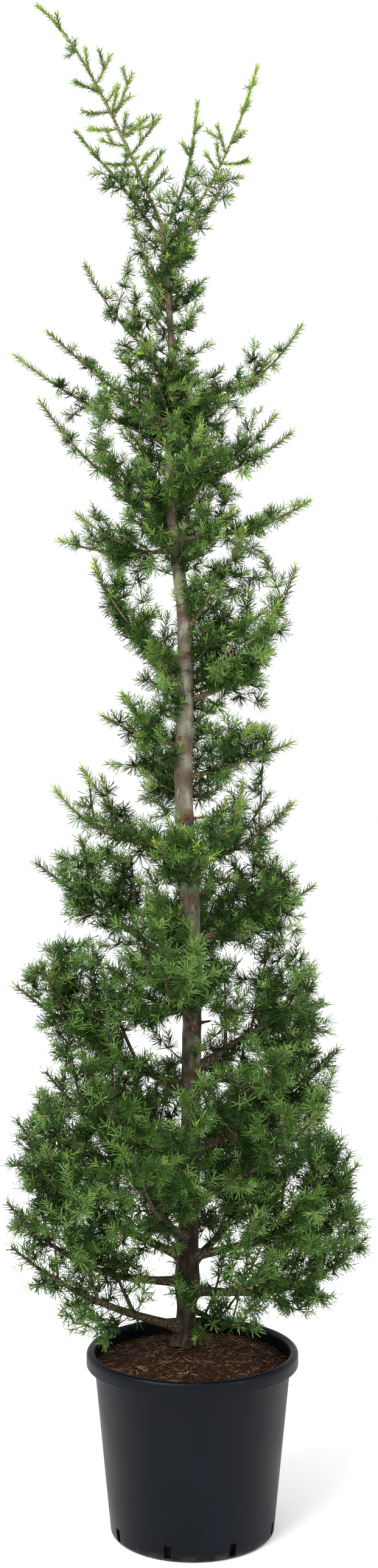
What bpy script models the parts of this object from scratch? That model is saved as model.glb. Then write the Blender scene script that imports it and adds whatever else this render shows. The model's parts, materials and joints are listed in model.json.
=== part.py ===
"""A young atlas cedar in a round nursery container, 2.9 m tall with its pot.

Metres, +Z up. The origin is the middle of the pot's flat underside. The tree is
seen from -Y, so +X is its right hand side. Headings are degrees anticlockwise
from +X, seen from above.

The trunk is one tapering limb from a flat cut at the soil to its fork. Each limb
of the crown is a row of real sizes in LIMBS. A thick one is a bough that ends in
a mass of foliage, and a thin one is a mass whose stem grows on the trunk.
"""

import math
import random
from collections import namedtuple

import bmesh
import bpy
import numpy as np
from mathutils import Matrix, Vector

GAP = 0.0003
WELD = 0.000002
SEED = 23

POT_HEIGHT = 0.345
POT_FOOT_RADIUS = 0.154
POT_FLARE = 0.097
POT_WALL = 0.0025
POT_FLOOR = 0.004
POT_CORNER = 0.009
POT_CORNER_WIDTH = 0.007
RIM_RADIUS = 0.200
RIM_INNER_RADIUS = 0.184
RIM_DROP = 0.0275
RIM_ROUND = 0.008
RIM_LIP = 0.002
TURN_STEPS = 32
SLOT_COUNT = 8
SLOT_WIDTH = 0.013
SLOT_HEIGHT = 0.024
SLOT_DEPTH = 0.050
SLOT_FOOT = 0.006
SLOT_HEADING = 28

SOIL_TOP = 0.335
SOIL_EDGE = 0.322
SOIL_EDGE_ROUND = 0.009
SOIL_FLAT_RADIUS = 0.120

# The trunk's centre and radius at each height: root flare, neck, the swelling
# that the low boughs leave, and then one long taper with its two slow bends.
Station = namedtuple("Station", "height side depth radius")
TRUNK = (
    Station(0.3353, -0.015, 0.060, 0.0300),
    Station(0.355, -0.014, 0.059, 0.0225),
    Station(0.400, -0.012, 0.058, 0.0185),
    Station(0.455, -0.010, 0.056, 0.0235),
    Station(0.530, -0.008, 0.054, 0.0200),
    Station(0.950, -0.001, 0.045, 0.0182),
    Station(1.200, -0.005, 0.040, 0.0176),
    Station(1.400, -0.017, 0.036, 0.0172),
    Station(1.600, -0.013, 0.032, 0.0158),
    Station(1.730, -0.016, 0.030, 0.0132),
    Station(1.880, -0.035, 0.026, 0.0118),
    Station(1.990, -0.043, 0.024, 0.0090),
    Station(2.200, -0.038, 0.020, 0.0066),
    Station(2.456, -0.057, 0.016, 0.0050),
)
TRUNK_TOP = TRUNK[-1].height
TRUNK_RINGS = 23
FLARE_STATIONS = 3

# One row for each limb of the crown, from the tip of the tree down.
# height: where it leaves the trunk. heading: its compass direction. reach: how far
# out its tip is. climb: how far its tip is above its root. upturn: 0 is straight,
# 1 leaves level and turns up, below 0 arches over. radius: at its root. bough: the
# share of it that is bare wood, a solid of its own. spread: its longest side twig.
# forks: how many side limbs it has.
Limb = namedtuple("Limb", "name height heading reach climb upturn radius bough spread forks")
LIMBS = (
    Limb("leader", 2.453, 176, 0.232, 0.412, -0.30, 0.0044, 0.0, 0.145, 0),
    Limb("top_middle", 2.440, 50, 0.105, 0.270, 0.50, 0.0034, 0.0, 0.085, 0),
    Limb("top_right", 2.420, -6, 0.175, 0.325, 0.45, 0.0036, 0.0, 0.095, 0),
    Limb("top_left", 2.425, 200, 0.170, 0.185, -0.10, 0.0034, 0.0, 0.095, 0),
    Limb("crest_right", 2.385, -34, 0.145, 0.150, 0.30, 0.0034, 0.0, 0.095, 0),
    Limb("crest_front", 2.310, 228, 0.105, 0.150, 0.40, 0.0032, 0.0, 0.085, 0),
    Limb("crest_back", 2.300, 88, 0.150, 0.150, 0.40, 0.0036, 0.0, 0.110, 0),
    Limb("crest_left", 2.190, 186, 0.165, 0.195, 0.42, 0.0040, 0.0, 0.120, 0),
    Limb("upper_right", 2.120, 7, 0.250, 0.162, 0.78, 0.0046, 0.0, 0.140, 0),
    Limb("upper_front", 2.100, -108, 0.125, 0.130, 0.60, 0.0036, 0.0, 0.095, 0),
    Limb("upper_left_front", 2.085, 203, 0.245, 0.155, 0.20, 0.0044, 0.0, 0.120, 0),
    Limb("upper_left", 2.045, 170, 0.300, 0.180, 0.17, 0.0050, 0.0, 0.130, 0),
    Limb("upper_back", 2.060, 90, 0.190, 0.110, 0.40, 0.0044, 0.0, 0.130, 0),
    Limb("fore_right", 1.970, 4, 0.232, 0.105, 0.50, 0.0052, 0.0, 0.140, 1),
    Limb("fore_front", 1.950, -70, 0.165, 0.110, 0.50, 0.0046, 0.0, 0.110, 0),
    Limb("fore_left", 1.925, 184, 0.248, 0.205, 0.47, 0.0056, 0.0, 0.140, 0),
    Limb("fore_back", 1.900, 100, 0.210, 0.090, 0.40, 0.0052, 0.0, 0.130, 0),
    Limb("shoulder_right", 1.870, -11, 0.258, 0.070, 0.70, 0.0056, 0.0, 0.140, 1),
    Limb("shoulder_left", 1.850, 172, 0.225, 0.025, 1.50, 0.0054, 0.0, 0.140, 1),
    Limb("waist_front", 1.690, -48, 0.165, 0.188, 0.10, 0.0060, 0.0, 0.110, 0),
    Limb("waist_hook_left", 1.650, 182, 0.172, 0.183, 1.00, 0.0062, 0.0, 0.110, 1),
    Limb("waist_back_right", 1.635, 38, 0.200, 0.110, 0.10, 0.0058, 0.0, 0.120, 0),
    Limb("waist_back", 1.590, 112, 0.180, 0.100, 0.30, 0.0056, 0.0, 0.120, 0),
    Limb("waist_hook_right", 1.568, -4, 0.208, 0.252, 0.80, 0.0066, 0.0, 0.120, 1),
    Limb("waist_left", 1.480, 186, 0.155, 0.060, 0.30, 0.0054, 0.0, 0.120, 1),
    Limb("waist_right", 1.420, -2, 0.208, 0.070, 0.20, 0.0064, 0.0, 0.130, 1),
    Limb("middle_back", 1.360, 98, 0.210, 0.110, 0.30, 0.0064, 0.0, 0.145, 1),
    Limb("middle_left", 1.298, 184, 0.250, 0.105, 1.10, 0.0066, 0.0, 0.155, 1),
    Limb("middle_right", 1.250, 3, 0.200, 0.125, 0.40, 0.0062, 0.0, 0.160, 1),
    Limb("middle_front", 1.215, -86, 0.180, 0.090, 0.30, 0.0058, 0.0, 0.155, 1),
    Limb("broad_right", 1.110, 6, 0.238, 0.105, 0.30, 0.0068, 0.0, 0.165, 2),
    Limb("broad_left", 1.050, 177, 0.297, 0.210, 0.05, 0.0080, 0.30, 0.170, 2),
    Limb("broad_back", 1.030, 86, 0.255, 0.140, 0.30, 0.0072, 0.0, 0.175, 2),
    Limb("broad_front", 0.960, -106, 0.230, 0.135, 0.30, 0.0068, 0.0, 0.170, 2),
    Limb("full_right", 0.860, -6, 0.246, 0.135, -0.30, 0.0084, 0.32, 0.170, 2),
    Limb("full_left", 0.820, 187, 0.332, 0.210, 0.20, 0.0086, 0.28, 0.170, 2),
    Limb("full_back_right", 0.700, 16, 0.290, 0.190, 0.30, 0.0080, 0.0, 0.175, 2),
    Limb("full_front_left", 0.660, 207, 0.300, 0.225, 0.30, 0.0074, 0.0, 0.165, 1),
    Limb("full_front_right", 0.610, -34, 0.300, 0.215, 0.30, 0.0074, 0.0, 0.165, 1),
    Limb("low_front", 0.540, -112, 0.275, 0.210, 0.40, 0.0080, 0.0, 0.175, 2),
    Limb("low_back_left", 0.520, 122, 0.310, 0.230, 0.50, 0.0086, 0.0, 0.180, 2),
    Limb("low_right", 0.505, -19, 0.332, 0.200, 0.60, 0.0090, 0.28, 0.165, 2),
    Limb("low_left", 0.500, 174, 0.334, 0.260, 0.50, 0.0090, 0.28, 0.165, 2),
    Limb("low_back", 0.480, 58, 0.320, 0.210, 0.50, 0.0090, 0.28, 0.170, 2),
    Limb("skirt_left", 0.455, 194, 0.348, 0.175, 0.80, 0.0090, 0.28, 0.160, 1),
    Limb("skirt_right", 0.440, -6, 0.344, 0.108, 1.20, 0.0090, 0.28, 0.160, 1),
    Limb("foot_front", 0.405, -56, 0.215, 0.010, 1.00, 0.0056, 0.0, 0.125, 0),
    Limb("foot_left", 0.364, 206, 0.355, 0.200, 0.35, 0.0096, 0.34, 0.150, 1),
)
TIP_RADIUS = 0.0014
PATH_STEPS = 36
SWAY = 0.030
SWAY_TURNS = 1.2
LIMB_TAPER = 0.8
BOUGH_RINGS = 6
STEM_RINGS = 4

# Sprays of needles: each is a toothed blade, thick along its rib. They are larger
# than life, because each stands for a whole twig of needle tufts. Angles are in
# degrees, and a pair is the range that a random draw takes.
FIRST_SPRAY = 0.044
SPRAY_STEP = 0.047
SPRAY_STEP_RANGE = (0.9, 1.1)
SPRAY_ANGLE = 47
SPRAY_ANGLE_RANGE = (-7, 7)
SPRAY_ROLL_RANGE = (-35, 60)
SPRAY_FACE_RANGE = (-60, 60)
SPRAY_LENGTH_RANGE = (0.85, 1.1)
SPRAY_SHRINK = 0.85
SPRAY_HALF_WIDTH = 0.034
SPRAY_SLIMNESS = 0.26
SHORTEST_SPRAY = 0.045
TIP_SPRAY_LENGTH = 0.115
TIP_SPRAY_HALF_WIDTH = 0.026
TIP_SPRAY_OVERLAP = 0.94
TIP_FACE_RANGE = (-50, 50)
TIP_TAPER = 0.85
STEM_TAPER = 0.25
TOOTH_STEP = 0.039
MOST_TEETH = 3
TOOTH_NARROWING = 0.13
NOTCH_SHARE = 0.34
SPRAY_THICKNESS = 0.0030
FIRST_FORK_SHARE = 0.22
FORK_SHARE_STEP = 0.24
FORK_ANGLE = 36
FORK_ANGLE_RANGE = (-5, 5)
FORK_ROLL_RANGE = (-5, 40)
FORK_LENGTH_RANGE = (0.80, 0.92)
FORK_RISE = 0.32
FORK_WIDTH_SHARE = 0.55
FORK_SPREAD_SHARE = 0.75
SHORTEST_FORK = 0.080
SPACE_MARGIN = 0.003
SPRAY_CLEARANCE = 0.014
WOOD_CLEARANCE = 0.005

POT_COLOUR = "#20262B"
SOIL_COLOUR = "#3F2B1D"
BARK_COLOUR = "#6E6852"
LOW_BARK_COLOUR = "#4A3C2C"
NEEDLE_COLOUR = "#4C6A38"


def clear_scene():
    for obj in list(bpy.data.objects):
        bpy.data.objects.remove(obj, do_unlink=True)


def new_collection(name):
    collection = bpy.data.collections.new(name)
    bpy.context.scene.collection.children.link(collection)
    return collection


clear_scene()
CEDAR = new_collection("atlas_cedar")
HELPERS = new_collection("cutters_and_guides")


def linear(hex_colour):
    """An sRGB hex colour as the linear RGBA that a shader takes."""
    parts = [int(hex_colour[i : i + 2], 16) / 255 for i in (1, 3, 5)]
    return [c / 12.92 if c <= 0.04045 else ((c + 0.055) / 1.055) ** 2.4 for c in parts] + [1.0]


def material(name, hex_colour, roughness):
    found = bpy.data.materials.get(name)
    if found:
        return found
    made = bpy.data.materials.new(name)
    made.use_nodes = True
    shader = made.node_tree.nodes["Principled BSDF"]
    shader.inputs["Base Color"].default_value = linear(hex_colour)
    shader.inputs["Roughness"].default_value = roughness
    shader.inputs["Metallic"].default_value = 0.0
    made.diffuse_color = linear(hex_colour)
    return made


def as_helper(obj):
    obj.hide_render = True
    obj.display_type = "WIRE"
    return obj


def mesh_of(obj):
    """The object's shape as a plain mesh, with its modifiers applied and its seams welded."""
    graph = bpy.context.evaluated_depsgraph_get()
    mesh = bpy.data.meshes.new_from_object(obj.evaluated_get(graph))
    shape = bmesh.new()
    shape.from_mesh(mesh)
    bmesh.ops.remove_doubles(shape, verts=shape.verts, dist=WELD)
    shape.to_mesh(mesh)
    shape.free()
    return mesh


def replaced_by_mesh(obj, collection):
    """A mesh object in place of a curve, or of an object with modifiers, which is removed."""
    name, mesh, place = obj.name, mesh_of(obj), obj.matrix_world.copy()
    bpy.data.objects.remove(obj, do_unlink=True)
    made = bpy.data.objects.new(name, mesh)
    made.matrix_world = place
    collection.objects.link(made)
    return made


def turned(name, profile, steps, collection):
    """A solid of revolution: the profile of (radius, height) runs down its outer side."""
    mesh = bpy.data.meshes.new(name)
    points = [(radius, 0.0, height) for radius, height in profile]
    mesh.from_pydata(points, [(i, i + 1) for i in range(len(points) - 1)], [])
    obj = bpy.data.objects.new(name, mesh)
    collection.objects.link(obj)
    screw = obj.modifiers.new("turn", "SCREW")
    screw.steps = steps
    screw.render_steps = steps
    screw.use_merge_vertices = True
    screw.merge_threshold = WELD
    return obj


def shade_round(obj, degrees=40):
    obj.data.shade_smooth()
    obj.data.set_sharp_from_angle(angle=math.radians(degrees))


def wall_radius(height):
    """Outer radius of the pot's flared wall."""
    return POT_FOOT_RADIUS + POT_FLARE * height


def make_pot():
    rim_foot = POT_HEIGHT - RIM_DROP
    inner_top = POT_HEIGHT - RIM_ROUND
    foot_radius = wall_radius(0) - POT_CORNER_WIDTH
    profile = [
        (0.0, POT_FLOOR),
        (foot_radius - POT_WALL, POT_FLOOR),
        (wall_radius(POT_CORNER) - POT_WALL, POT_CORNER),
        (wall_radius(rim_foot) - POT_WALL, rim_foot),
        (RIM_INNER_RADIUS, inner_top),
        (RIM_INNER_RADIUS + RIM_ROUND / 2, POT_HEIGHT),
        (RIM_RADIUS - RIM_ROUND / 2, POT_HEIGHT),
        (RIM_RADIUS, inner_top),
        (RIM_RADIUS, rim_foot + RIM_LIP),
        (RIM_RADIUS - RIM_LIP, rim_foot),
        (wall_radius(rim_foot), rim_foot),
        (wall_radius(POT_CORNER), POT_CORNER),
        (wall_radius(0) - POT_CORNER_WIDTH / 4, POT_CORNER / 3),
        (foot_radius, 0.0),
        (0.0, 0.0),
    ]
    pot = replaced_by_mesh(turned("pot", profile, TURN_STEPS, HELPERS), HELPERS)
    slots = new_collection("slot_cutters")
    for number in range(SLOT_COUNT):
        heading = math.radians(SLOT_HEADING + 360 / SLOT_COUNT * number)
        bpy.ops.mesh.primitive_cube_add(size=1.0)
        slot = bpy.context.object
        slot.name = f"slot_{number + 1}"
        slot.scale = (SLOT_DEPTH, SLOT_WIDTH, SLOT_HEIGHT)
        middle = wall_radius(0.0)
        height = SLOT_FOOT + SLOT_HEIGHT / 2
        slot.location = (middle * math.cos(heading), middle * math.sin(heading), height)
        slot.rotation_euler = (0.0, 0.0, heading)
        for holder in list(slot.users_collection):
            holder.objects.unlink(slot)
        slots.objects.link(as_helper(slot))
    cut = pot.modifiers.new("drainage slots", "BOOLEAN")
    cut.operand_type = "COLLECTION"
    cut.collection = slots
    cut.operation = "DIFFERENCE"
    pot = replaced_by_mesh(pot, CEDAR)
    shade_round(pot)
    pot.data.materials.clear()
    pot.data.materials.append(material("black_plastic", POT_COLOUR, 0.45))
    for slot in list(slots.objects):
        bpy.data.objects.remove(slot, do_unlink=True)
    bpy.data.collections.remove(slots)


def make_soil():
    foot = POT_FLOOR + GAP
    shrink = POT_WALL + 2 * GAP
    low_edge = SOIL_EDGE - SOIL_EDGE_ROUND
    profile = [
        (0.0, SOIL_TOP),
        (SOIL_FLAT_RADIUS, SOIL_TOP),
        (wall_radius(SOIL_EDGE) - shrink - SOIL_EDGE_ROUND / 3, SOIL_EDGE),
        (wall_radius(low_edge) - shrink, low_edge),
        (wall_radius(POT_CORNER) - shrink, POT_CORNER),
        (wall_radius(0) - POT_CORNER_WIDTH - shrink, foot),
        (0.0, foot),
    ]
    soil = replaced_by_mesh(turned("soil", profile, TURN_STEPS, HELPERS), CEDAR)
    shade_round(soil)
    soil.data.materials.append(material("bark_mulch", SOIL_COLOUR, 0.95))


def trunk_at(height):
    """The trunk's centre and radius at a height, on smooth curves through its stations."""
    last = len(TRUNK) - 1
    lower = 0
    while lower < last - 1 and TRUNK[lower + 1].height < height:
        lower += 1
    ends = TRUNK[lower], TRUNK[lower + 1]
    span = ends[1].height - ends[0].height
    t = min(max((height - ends[0].height) / span, 0.0), 1.0)

    def slope(index, field):
        before = TRUNK[max(index - 1, 0)]
        after = TRUNK[min(index + 1, last)]
        rise = getattr(after, field) - getattr(before, field)
        return rise / (after.height - before.height)

    def read(field):
        start, end = (getattr(station, field) for station in ends)
        start_slope = slope(lower, field) * span
        end_slope = slope(lower + 1, field) * span
        return (
            start * (1 + 2 * t) * (1 - t) ** 2
            + start_slope * t * (1 - t) ** 2
            + end * t * t * (3 - 2 * t)
            - end_slope * t * t * (1 - t)
        )

    return Vector((read("side"), read("depth"), height)), read("radius")


def limb_point(limb, share):
    """The limb's centre at a share of its reach, from the middle of the trunk outwards."""
    heading = math.radians(limb.heading)
    outwards = Vector((math.cos(heading), math.sin(heading), 0.0))
    sideways = Vector((-outwards.y, outwards.x, 0.0))
    foot, _ = trunk_at(limb.height)
    rise = limb.climb * ((1 - limb.upturn) * share + limb.upturn * share**3)
    sway = SWAY * limb.reach * share * math.sin(SWAY_TURNS * math.tau * share + limb.heading)
    return foot + outwards * limb.reach * share + sideways * sway + Vector((0, 0, rise))


def limb_radius(limb, share):
    """A limb's radius, tapering from its root to its tip."""
    return TIP_RADIUS + (limb.radius - TIP_RADIUS) * (1 - share) ** LIMB_TAPER


def spaced(first, last, count):
    return [first + (last - first) * i / (count - 1) for i in range(count)]


# Every limb's centre line as points, so that a mass can tell whose space it is in.
CENTRES = np.array([limb_point(limb, t) for limb in LIMBS for t in spaced(0, 1, PATH_STEPS)])
OWNERS = np.repeat(np.arange(len(LIMBS)), PATH_STEPS)
BOUGH_SHARES = np.array([share for _ in LIMBS for share in spaced(0, 1, PATH_STEPS)])


def in_own_space(number, points):
    """Whether points keep nearer to this limb than to any other, and off wood, soil and pot."""
    limb = LIMBS[number]
    places = np.array(points)
    apart = np.linalg.norm(places[:, None, :] - CENTRES[None, :, :], axis=2)
    own = apart[:, OWNERS == number].min(axis=1)
    other = apart[:, OWNERS != number].min(axis=1)
    if (own + SPACE_MARGIN > other).any():
        return False
    if places[:, 2].min() < POT_HEIGHT + WOOD_CLEARANCE:
        return False
    bare = (OWNERS == number) & (BOUGH_SHARES < limb.bough)
    if bare.any() and apart[:, bare].min() < limb.radius + WOOD_CLEARANCE:
        return False
    for place in points:
        if place.z < TRUNK_TOP:
            centre, radius = trunk_at(place.z)
            if (place - centre).length < radius + WOOD_CLEARANCE:
                return False
    return True


Twig = namedtuple("Twig", "points radii")
Spray = namedtuple("Spray", "root along face length half_width")


def spray_outline(spray):
    """The blade's notches and teeth: pairs of (distance along its rib, distance from it)."""
    teeth_a_side = min(MOST_TEETH, max(2, round(spray.length / TOOTH_STEP) - 1))
    step = spray.length / (teeth_a_side + 1.3)
    notches = [(step * (0.5 + i), NOTCH_SHARE * spray.half_width) for i in range(teeth_a_side + 1)]
    teeth = [
        (along + 0.95 * step, spray.half_width * (1.0 - TOOTH_NARROWING * i))
        for i, (along, _) in enumerate(notches[:-1])
    ]
    return notches, teeth


def spray_reach(spray):
    """The points of a blade that stand furthest out, and some between them and its rib."""
    across = spray.along.cross(spray.face)
    _, teeth = spray_outline(spray)
    points = [spray.root + spray.along * spray.length]
    points.append(spray.root + spray.along * spray.length * 0.6)
    for along, width in teeth:
        for side in (-1, 1):
            points.append(spray.root + spray.along * along + across * width * side)
            points.append(spray.root + spray.along * along * 0.8 + across * width * side * 0.5)
    return points


def side_direction(along, side, roll):
    """A direction square to a stem: level to one side of it, tilted by roll degrees."""
    level = along.cross(Vector((0, 0, 1))).normalized() * side
    upright = level.cross(along).normalized() * side
    tilt = math.radians(roll)
    return level * math.cos(tilt) + upright * math.sin(tilt)


def walk(points):
    """Distances along a line of points, from its first."""
    far = [0.0]
    for here, there in zip(points, points[1:]):
        far.append(far[-1] + (there - here).length)
    return far


def point_along(points, distance):
    """The place and direction at a distance along a line of points."""
    far = walk(points)
    index = 0
    while index < len(points) - 2 and far[index + 1] < distance:
        index += 1
    here, there = points[index], points[index + 1]
    share = (distance - far[index]) / (far[index + 1] - far[index])
    return here.lerp(there, share), (there - here).normalized()


def grow_fork(number, stem, order, draw):
    """A side limb of a mass: leaves the stem at a slant and turns up, while it has space."""
    length = walk(stem)[-1]
    start = length * (FIRST_FORK_SHARE + FORK_SHARE_STEP * order)
    root, along = point_along(stem, start)
    side = 1 if (order + number) % 2 else -1
    slant = math.radians(FORK_ANGLE + draw.uniform(*FORK_ANGLE_RANGE))
    away = side_direction(along, side, draw.uniform(*FORK_ROLL_RANGE))
    heading = along * math.cos(slant) + away * math.sin(slant)
    reach = (length - start) * draw.uniform(*FORK_LENGTH_RANGE)
    points = [root]
    for share in spaced(0.25, 1.0, 4):
        point = root + heading * reach * share + Vector((0, 0, FORK_RISE * reach * share**2))
        if not in_own_space(number, [point]):
            break
        points.append(point)
    if len(points) < 3 or walk(points)[-1] < SHORTEST_FORK:
        return None
    return points


def clear_of(spray, others):
    """Whether a spray's teeth and tip keep off those of the sprays before it."""
    return all(
        (point - other_point).length > SPRAY_CLEARANCE
        for other in others
        for other_point in spray_reach(other)
        for point in spray_reach(spray)
    )


def grow_sprays(number, axis, first, spread, draw, sprays):
    """Sprays on alternate sides of a stem or fork, shorter towards its end, and one at its tip."""
    length = walk(axis)[-1]
    place = first
    side = 1 if number % 2 else -1
    while place < length - SPRAY_STEP / 3:
        root, along = point_along(axis, place)
        slant = math.radians(SPRAY_ANGLE + draw.uniform(*SPRAY_ANGLE_RANGE))
        away = side_direction(along, side, draw.uniform(*SPRAY_ROLL_RANGE))
        heading = (along * math.cos(slant) + away * math.sin(slant)).normalized()
        across = side_direction(heading, side, draw.uniform(*SPRAY_FACE_RANGE))
        face = heading.cross(across).normalized()
        reach = spread * (1.0 - STEM_TAPER * place / length) * draw.uniform(*SPRAY_LENGTH_RANGE)
        reach = min(reach, TIP_TAPER * (length - place) + SHORTEST_SPRAY)
        while reach >= SHORTEST_SPRAY:
            width = min(SPRAY_HALF_WIDTH, SPRAY_SLIMNESS * reach)
            spray = Spray(root, heading, face, reach, width)
            if in_own_space(number, spray_reach(spray)) and clear_of(spray, sprays):
                sprays.append(spray)
                break
            reach *= SPRAY_SHRINK
        place += SPRAY_STEP * draw.uniform(*SPRAY_STEP_RANGE)
        side = -side
    end, along = point_along(axis, length)
    across = side_direction(along, side, draw.uniform(*TIP_FACE_RANGE))
    face = along.cross(across).normalized()
    root = end - along * TIP_SPRAY_OVERLAP * TIP_SPRAY_LENGTH
    spray = Spray(root, along, face, TIP_SPRAY_LENGTH, TIP_SPRAY_HALF_WIDTH)
    if in_own_space(number, spray_reach(spray)) and clear_of(spray, sprays):
        sprays.append(spray)


def grow_mass(number):
    """The twigs and sprays of one limb's foliage, by a rule that its seed repeats."""
    limb = LIMBS[number]
    draw = random.Random(SEED * 1000 + number)
    shares = spaced(limb.bough, 1.0, STEM_RINGS + 1)
    stem = [limb_point(limb, share) for share in shares]
    radii = [limb_radius(limb, share) for share in shares]
    if limb.bough:
        end, bough_end = bough_line(limb)[-2:]
        onwards = (bough_end - end).normalized()
        stem[0] = bough_end + onwards * GAP
        stem.insert(1, bough_end + onwards * 4 * radii[0])
        radii.insert(1, radii[0])
    twigs = [Twig(stem, radii)]
    sprays = []
    grow_sprays(number, stem, FIRST_SPRAY, limb.spread, draw, sprays)
    for order in range(limb.forks):
        fork = grow_fork(number, stem, order, draw)
        if fork:
            widths = spaced(FORK_WIDTH_SHARE * radii[2], TIP_RADIUS, len(fork))
            twigs.append(Twig(fork, widths))
            grow_sprays(number, fork, SPRAY_STEP, FORK_SPREAD_SHARE * limb.spread, draw, sprays)
    return twigs, sprays


def limb_curve(name, points, radii, collection, section=None):
    """A tapering round limb, or one with the given section, closed at both ends."""
    curve = bpy.data.curves.new(name, "CURVE")
    curve.dimensions = "3D"
    curve.use_fill_caps = True
    if section:
        curve.bevel_mode = "OBJECT"
        curve.bevel_object = section
    else:
        curve.bevel_depth = 1.0
        curve.bevel_resolution = 1
    spline = curve.splines.new("POLY")
    spline.points.add(len(points) - 1)
    for point, place, radius in zip(spline.points, points, radii):
        point.co = (*place, 1.0)
        point.radius = radius
    obj = bpy.data.objects.new(name, curve)
    collection.objects.link(obj)
    return obj


def make_trunk(name, grow, collection):
    """The trunk, or a cutter that is larger than it all round by grow."""
    flare = [station.height for station in TRUNK[1:FLARE_STATIONS]]
    heights = sorted(spaced(TRUNK[0].height, TRUNK_TOP, TRUNK_RINGS) + flare)
    places = [trunk_at(height) for height in heights]
    points = [place for place, _ in places]
    radii = [radius + grow for _, radius in places]
    points[0] = Vector((points[1].x, points[1].y, points[0].z - grow))
    points[-1] = points[-1] + Vector((0, 0, grow))
    trunk = limb_curve(name, points, radii, collection)
    trunk.data.bevel_resolution = 3
    return replaced_by_mesh(trunk, collection)


def bough_line(limb):
    return [limb_point(limb, share) for share in spaced(0.0, limb.bough, BOUGH_RINGS)]


def cut_clear_of(obj, cutter):
    cut = obj.modifiers.new("clear of the trunk", "BOOLEAN")
    cut.object = cutter
    cut.operation = "DIFFERENCE"


def make_bough(limb, trunk_cutter):
    points = bough_line(limb)
    radii = [limb_radius(limb, share) for share in spaced(0.0, limb.bough, BOUGH_RINGS)]
    curve = limb_curve(f"bough_{limb.name}", points, radii, HELPERS)
    bough = replaced_by_mesh(curve, HELPERS)
    cut_clear_of(bough, trunk_cutter)
    bough = replaced_by_mesh(bough, CEDAR)
    keep_largest(bough)
    shade_round(bough, 60)
    bough.data.materials.clear()
    bough.data.materials.append(material("cedar_bark_low", LOW_BARK_COLOUR, 0.85))


def make_spray(name, spray, collection):
    """One toothed blade: flat below, with a ridge along its rib that thins out to its teeth."""
    notches, teeth = spray_outline(spray)
    shape = bmesh.new()
    root = shape.verts.new((0.0, 0.0, 0.0))
    tip = shape.verts.new((spray.length, 0.0, 0.0))
    ridge = [shape.verts.new((x, 0.0, SPRAY_THICKNESS)) for x, _ in notches]
    edges = []
    for side in (-1, 1):
        dips = [shape.verts.new((x, side * y, 0.0)) for x, y in notches]
        points = [shape.verts.new((x, side * y, 0.0)) for x, y in teeth]
        shape.faces.new((root, dips[0], ridge[0]))
        for i, point in enumerate(points):
            shape.faces.new((ridge[i], dips[i], point))
            shape.faces.new((ridge[i], point, dips[i + 1]))
            shape.faces.new((ridge[i], dips[i + 1], ridge[i + 1]))
        shape.faces.new((ridge[-1], dips[-1], tip))
        edges.append([vert for pair in zip(dips, points) for vert in pair] + [dips[-1]])
    shape.faces.new([root, *edges[0], tip, *reversed(edges[1])])
    bmesh.ops.recalc_face_normals(shape, faces=shape.faces)
    across = spray.face.cross(spray.along)
    turn = Matrix((spray.along, across, spray.face)).transposed().to_4x4()
    shape.transform(Matrix.Translation(spray.root) @ turn)
    mesh = bpy.data.meshes.new(name)
    shape.to_mesh(mesh)
    shape.free()
    obj = bpy.data.objects.new(name, mesh)
    collection.objects.link(obj)
    return obj


def keep_largest(obj):
    """Drops any loose scrap, so that the object is one body."""
    shape = bmesh.new()
    shape.from_mesh(obj.data)
    waiting = set(shape.verts)
    bodies = []
    while waiting:
        body = set()
        edge = [waiting.pop()]
        while edge:
            vert = edge.pop()
            body.add(vert)
            for link in vert.link_edges:
                other = link.other_vert(vert)
                if other in waiting:
                    waiting.remove(other)
                    edge.append(other)
        bodies.append(body)
    bodies.sort(key=len)
    for body in bodies[:-1]:
        bmesh.ops.delete(shape, geom=list(body), context="VERTS")
    shape.to_mesh(obj.data)
    shape.free()


def make_foliage(number, section, trunk_cutter):
    """Joins one limb's twigs and sprays into one solid, clear of the trunk."""
    limb = LIMBS[number]
    twigs, sprays = grow_mass(number)
    pieces = new_collection("pieces")
    stem = None
    for twig in twigs:
        holder = pieces if stem else HELPERS
        curve = limb_curve(f"foliage_{limb.name}", twig.points, twig.radii, HELPERS, section)
        made = replaced_by_mesh(curve, holder)
        stem = stem or made
    for spray in sprays:
        make_spray("spray", spray, pieces)
    join = stem.modifiers.new("join the sprays", "BOOLEAN")
    join.operand_type = "COLLECTION"
    join.collection = pieces
    join.operation = "UNION"
    join.solver = "MANIFOLD"
    if not limb.bough:
        cut_clear_of(stem, trunk_cutter)
    stem.name = f"foliage_{limb.name}"
    mass = replaced_by_mesh(stem, CEDAR)
    keep_largest(mass)
    mass.data.materials.clear()
    mass.data.materials.append(material("cedar_needles", NEEDLE_COLOUR, 0.6))
    for piece in list(pieces.objects):
        bpy.data.objects.remove(piece, do_unlink=True)
    bpy.data.collections.remove(pieces)


def make_section():
    """The three-cornered section of stems and forks, at a radius of one."""
    curve = bpy.data.curves.new("twig_section", "CURVE")
    curve.dimensions = "2D"
    spline = curve.splines.new("POLY")
    spline.points.add(2)
    spline.use_cyclic_u = True
    for corner, point in enumerate(spline.points):
        angle = -math.tau * corner / 3
        point.co = (math.cos(angle), math.sin(angle), 0.0, 1.0)
    section = bpy.data.objects.new("twig_section", curve)
    HELPERS.objects.link(section)
    return as_helper(section)


make_pot()
make_soil()
trunk = make_trunk("trunk", 0.0, CEDAR)
shade_round(trunk, 60)
trunk.data.materials.clear()
trunk.data.materials.append(material("cedar_bark", BARK_COLOUR, 0.8))
trunk_cutter = as_helper(make_trunk("trunk_clearance", GAP, HELPERS))
twig_section = make_section()
for limb_number, each_limb in enumerate(LIMBS):
    if each_limb.bough:
        make_bough(each_limb, trunk_cutter)
    make_foliage(limb_number, twig_section, trunk_cutter)
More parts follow.
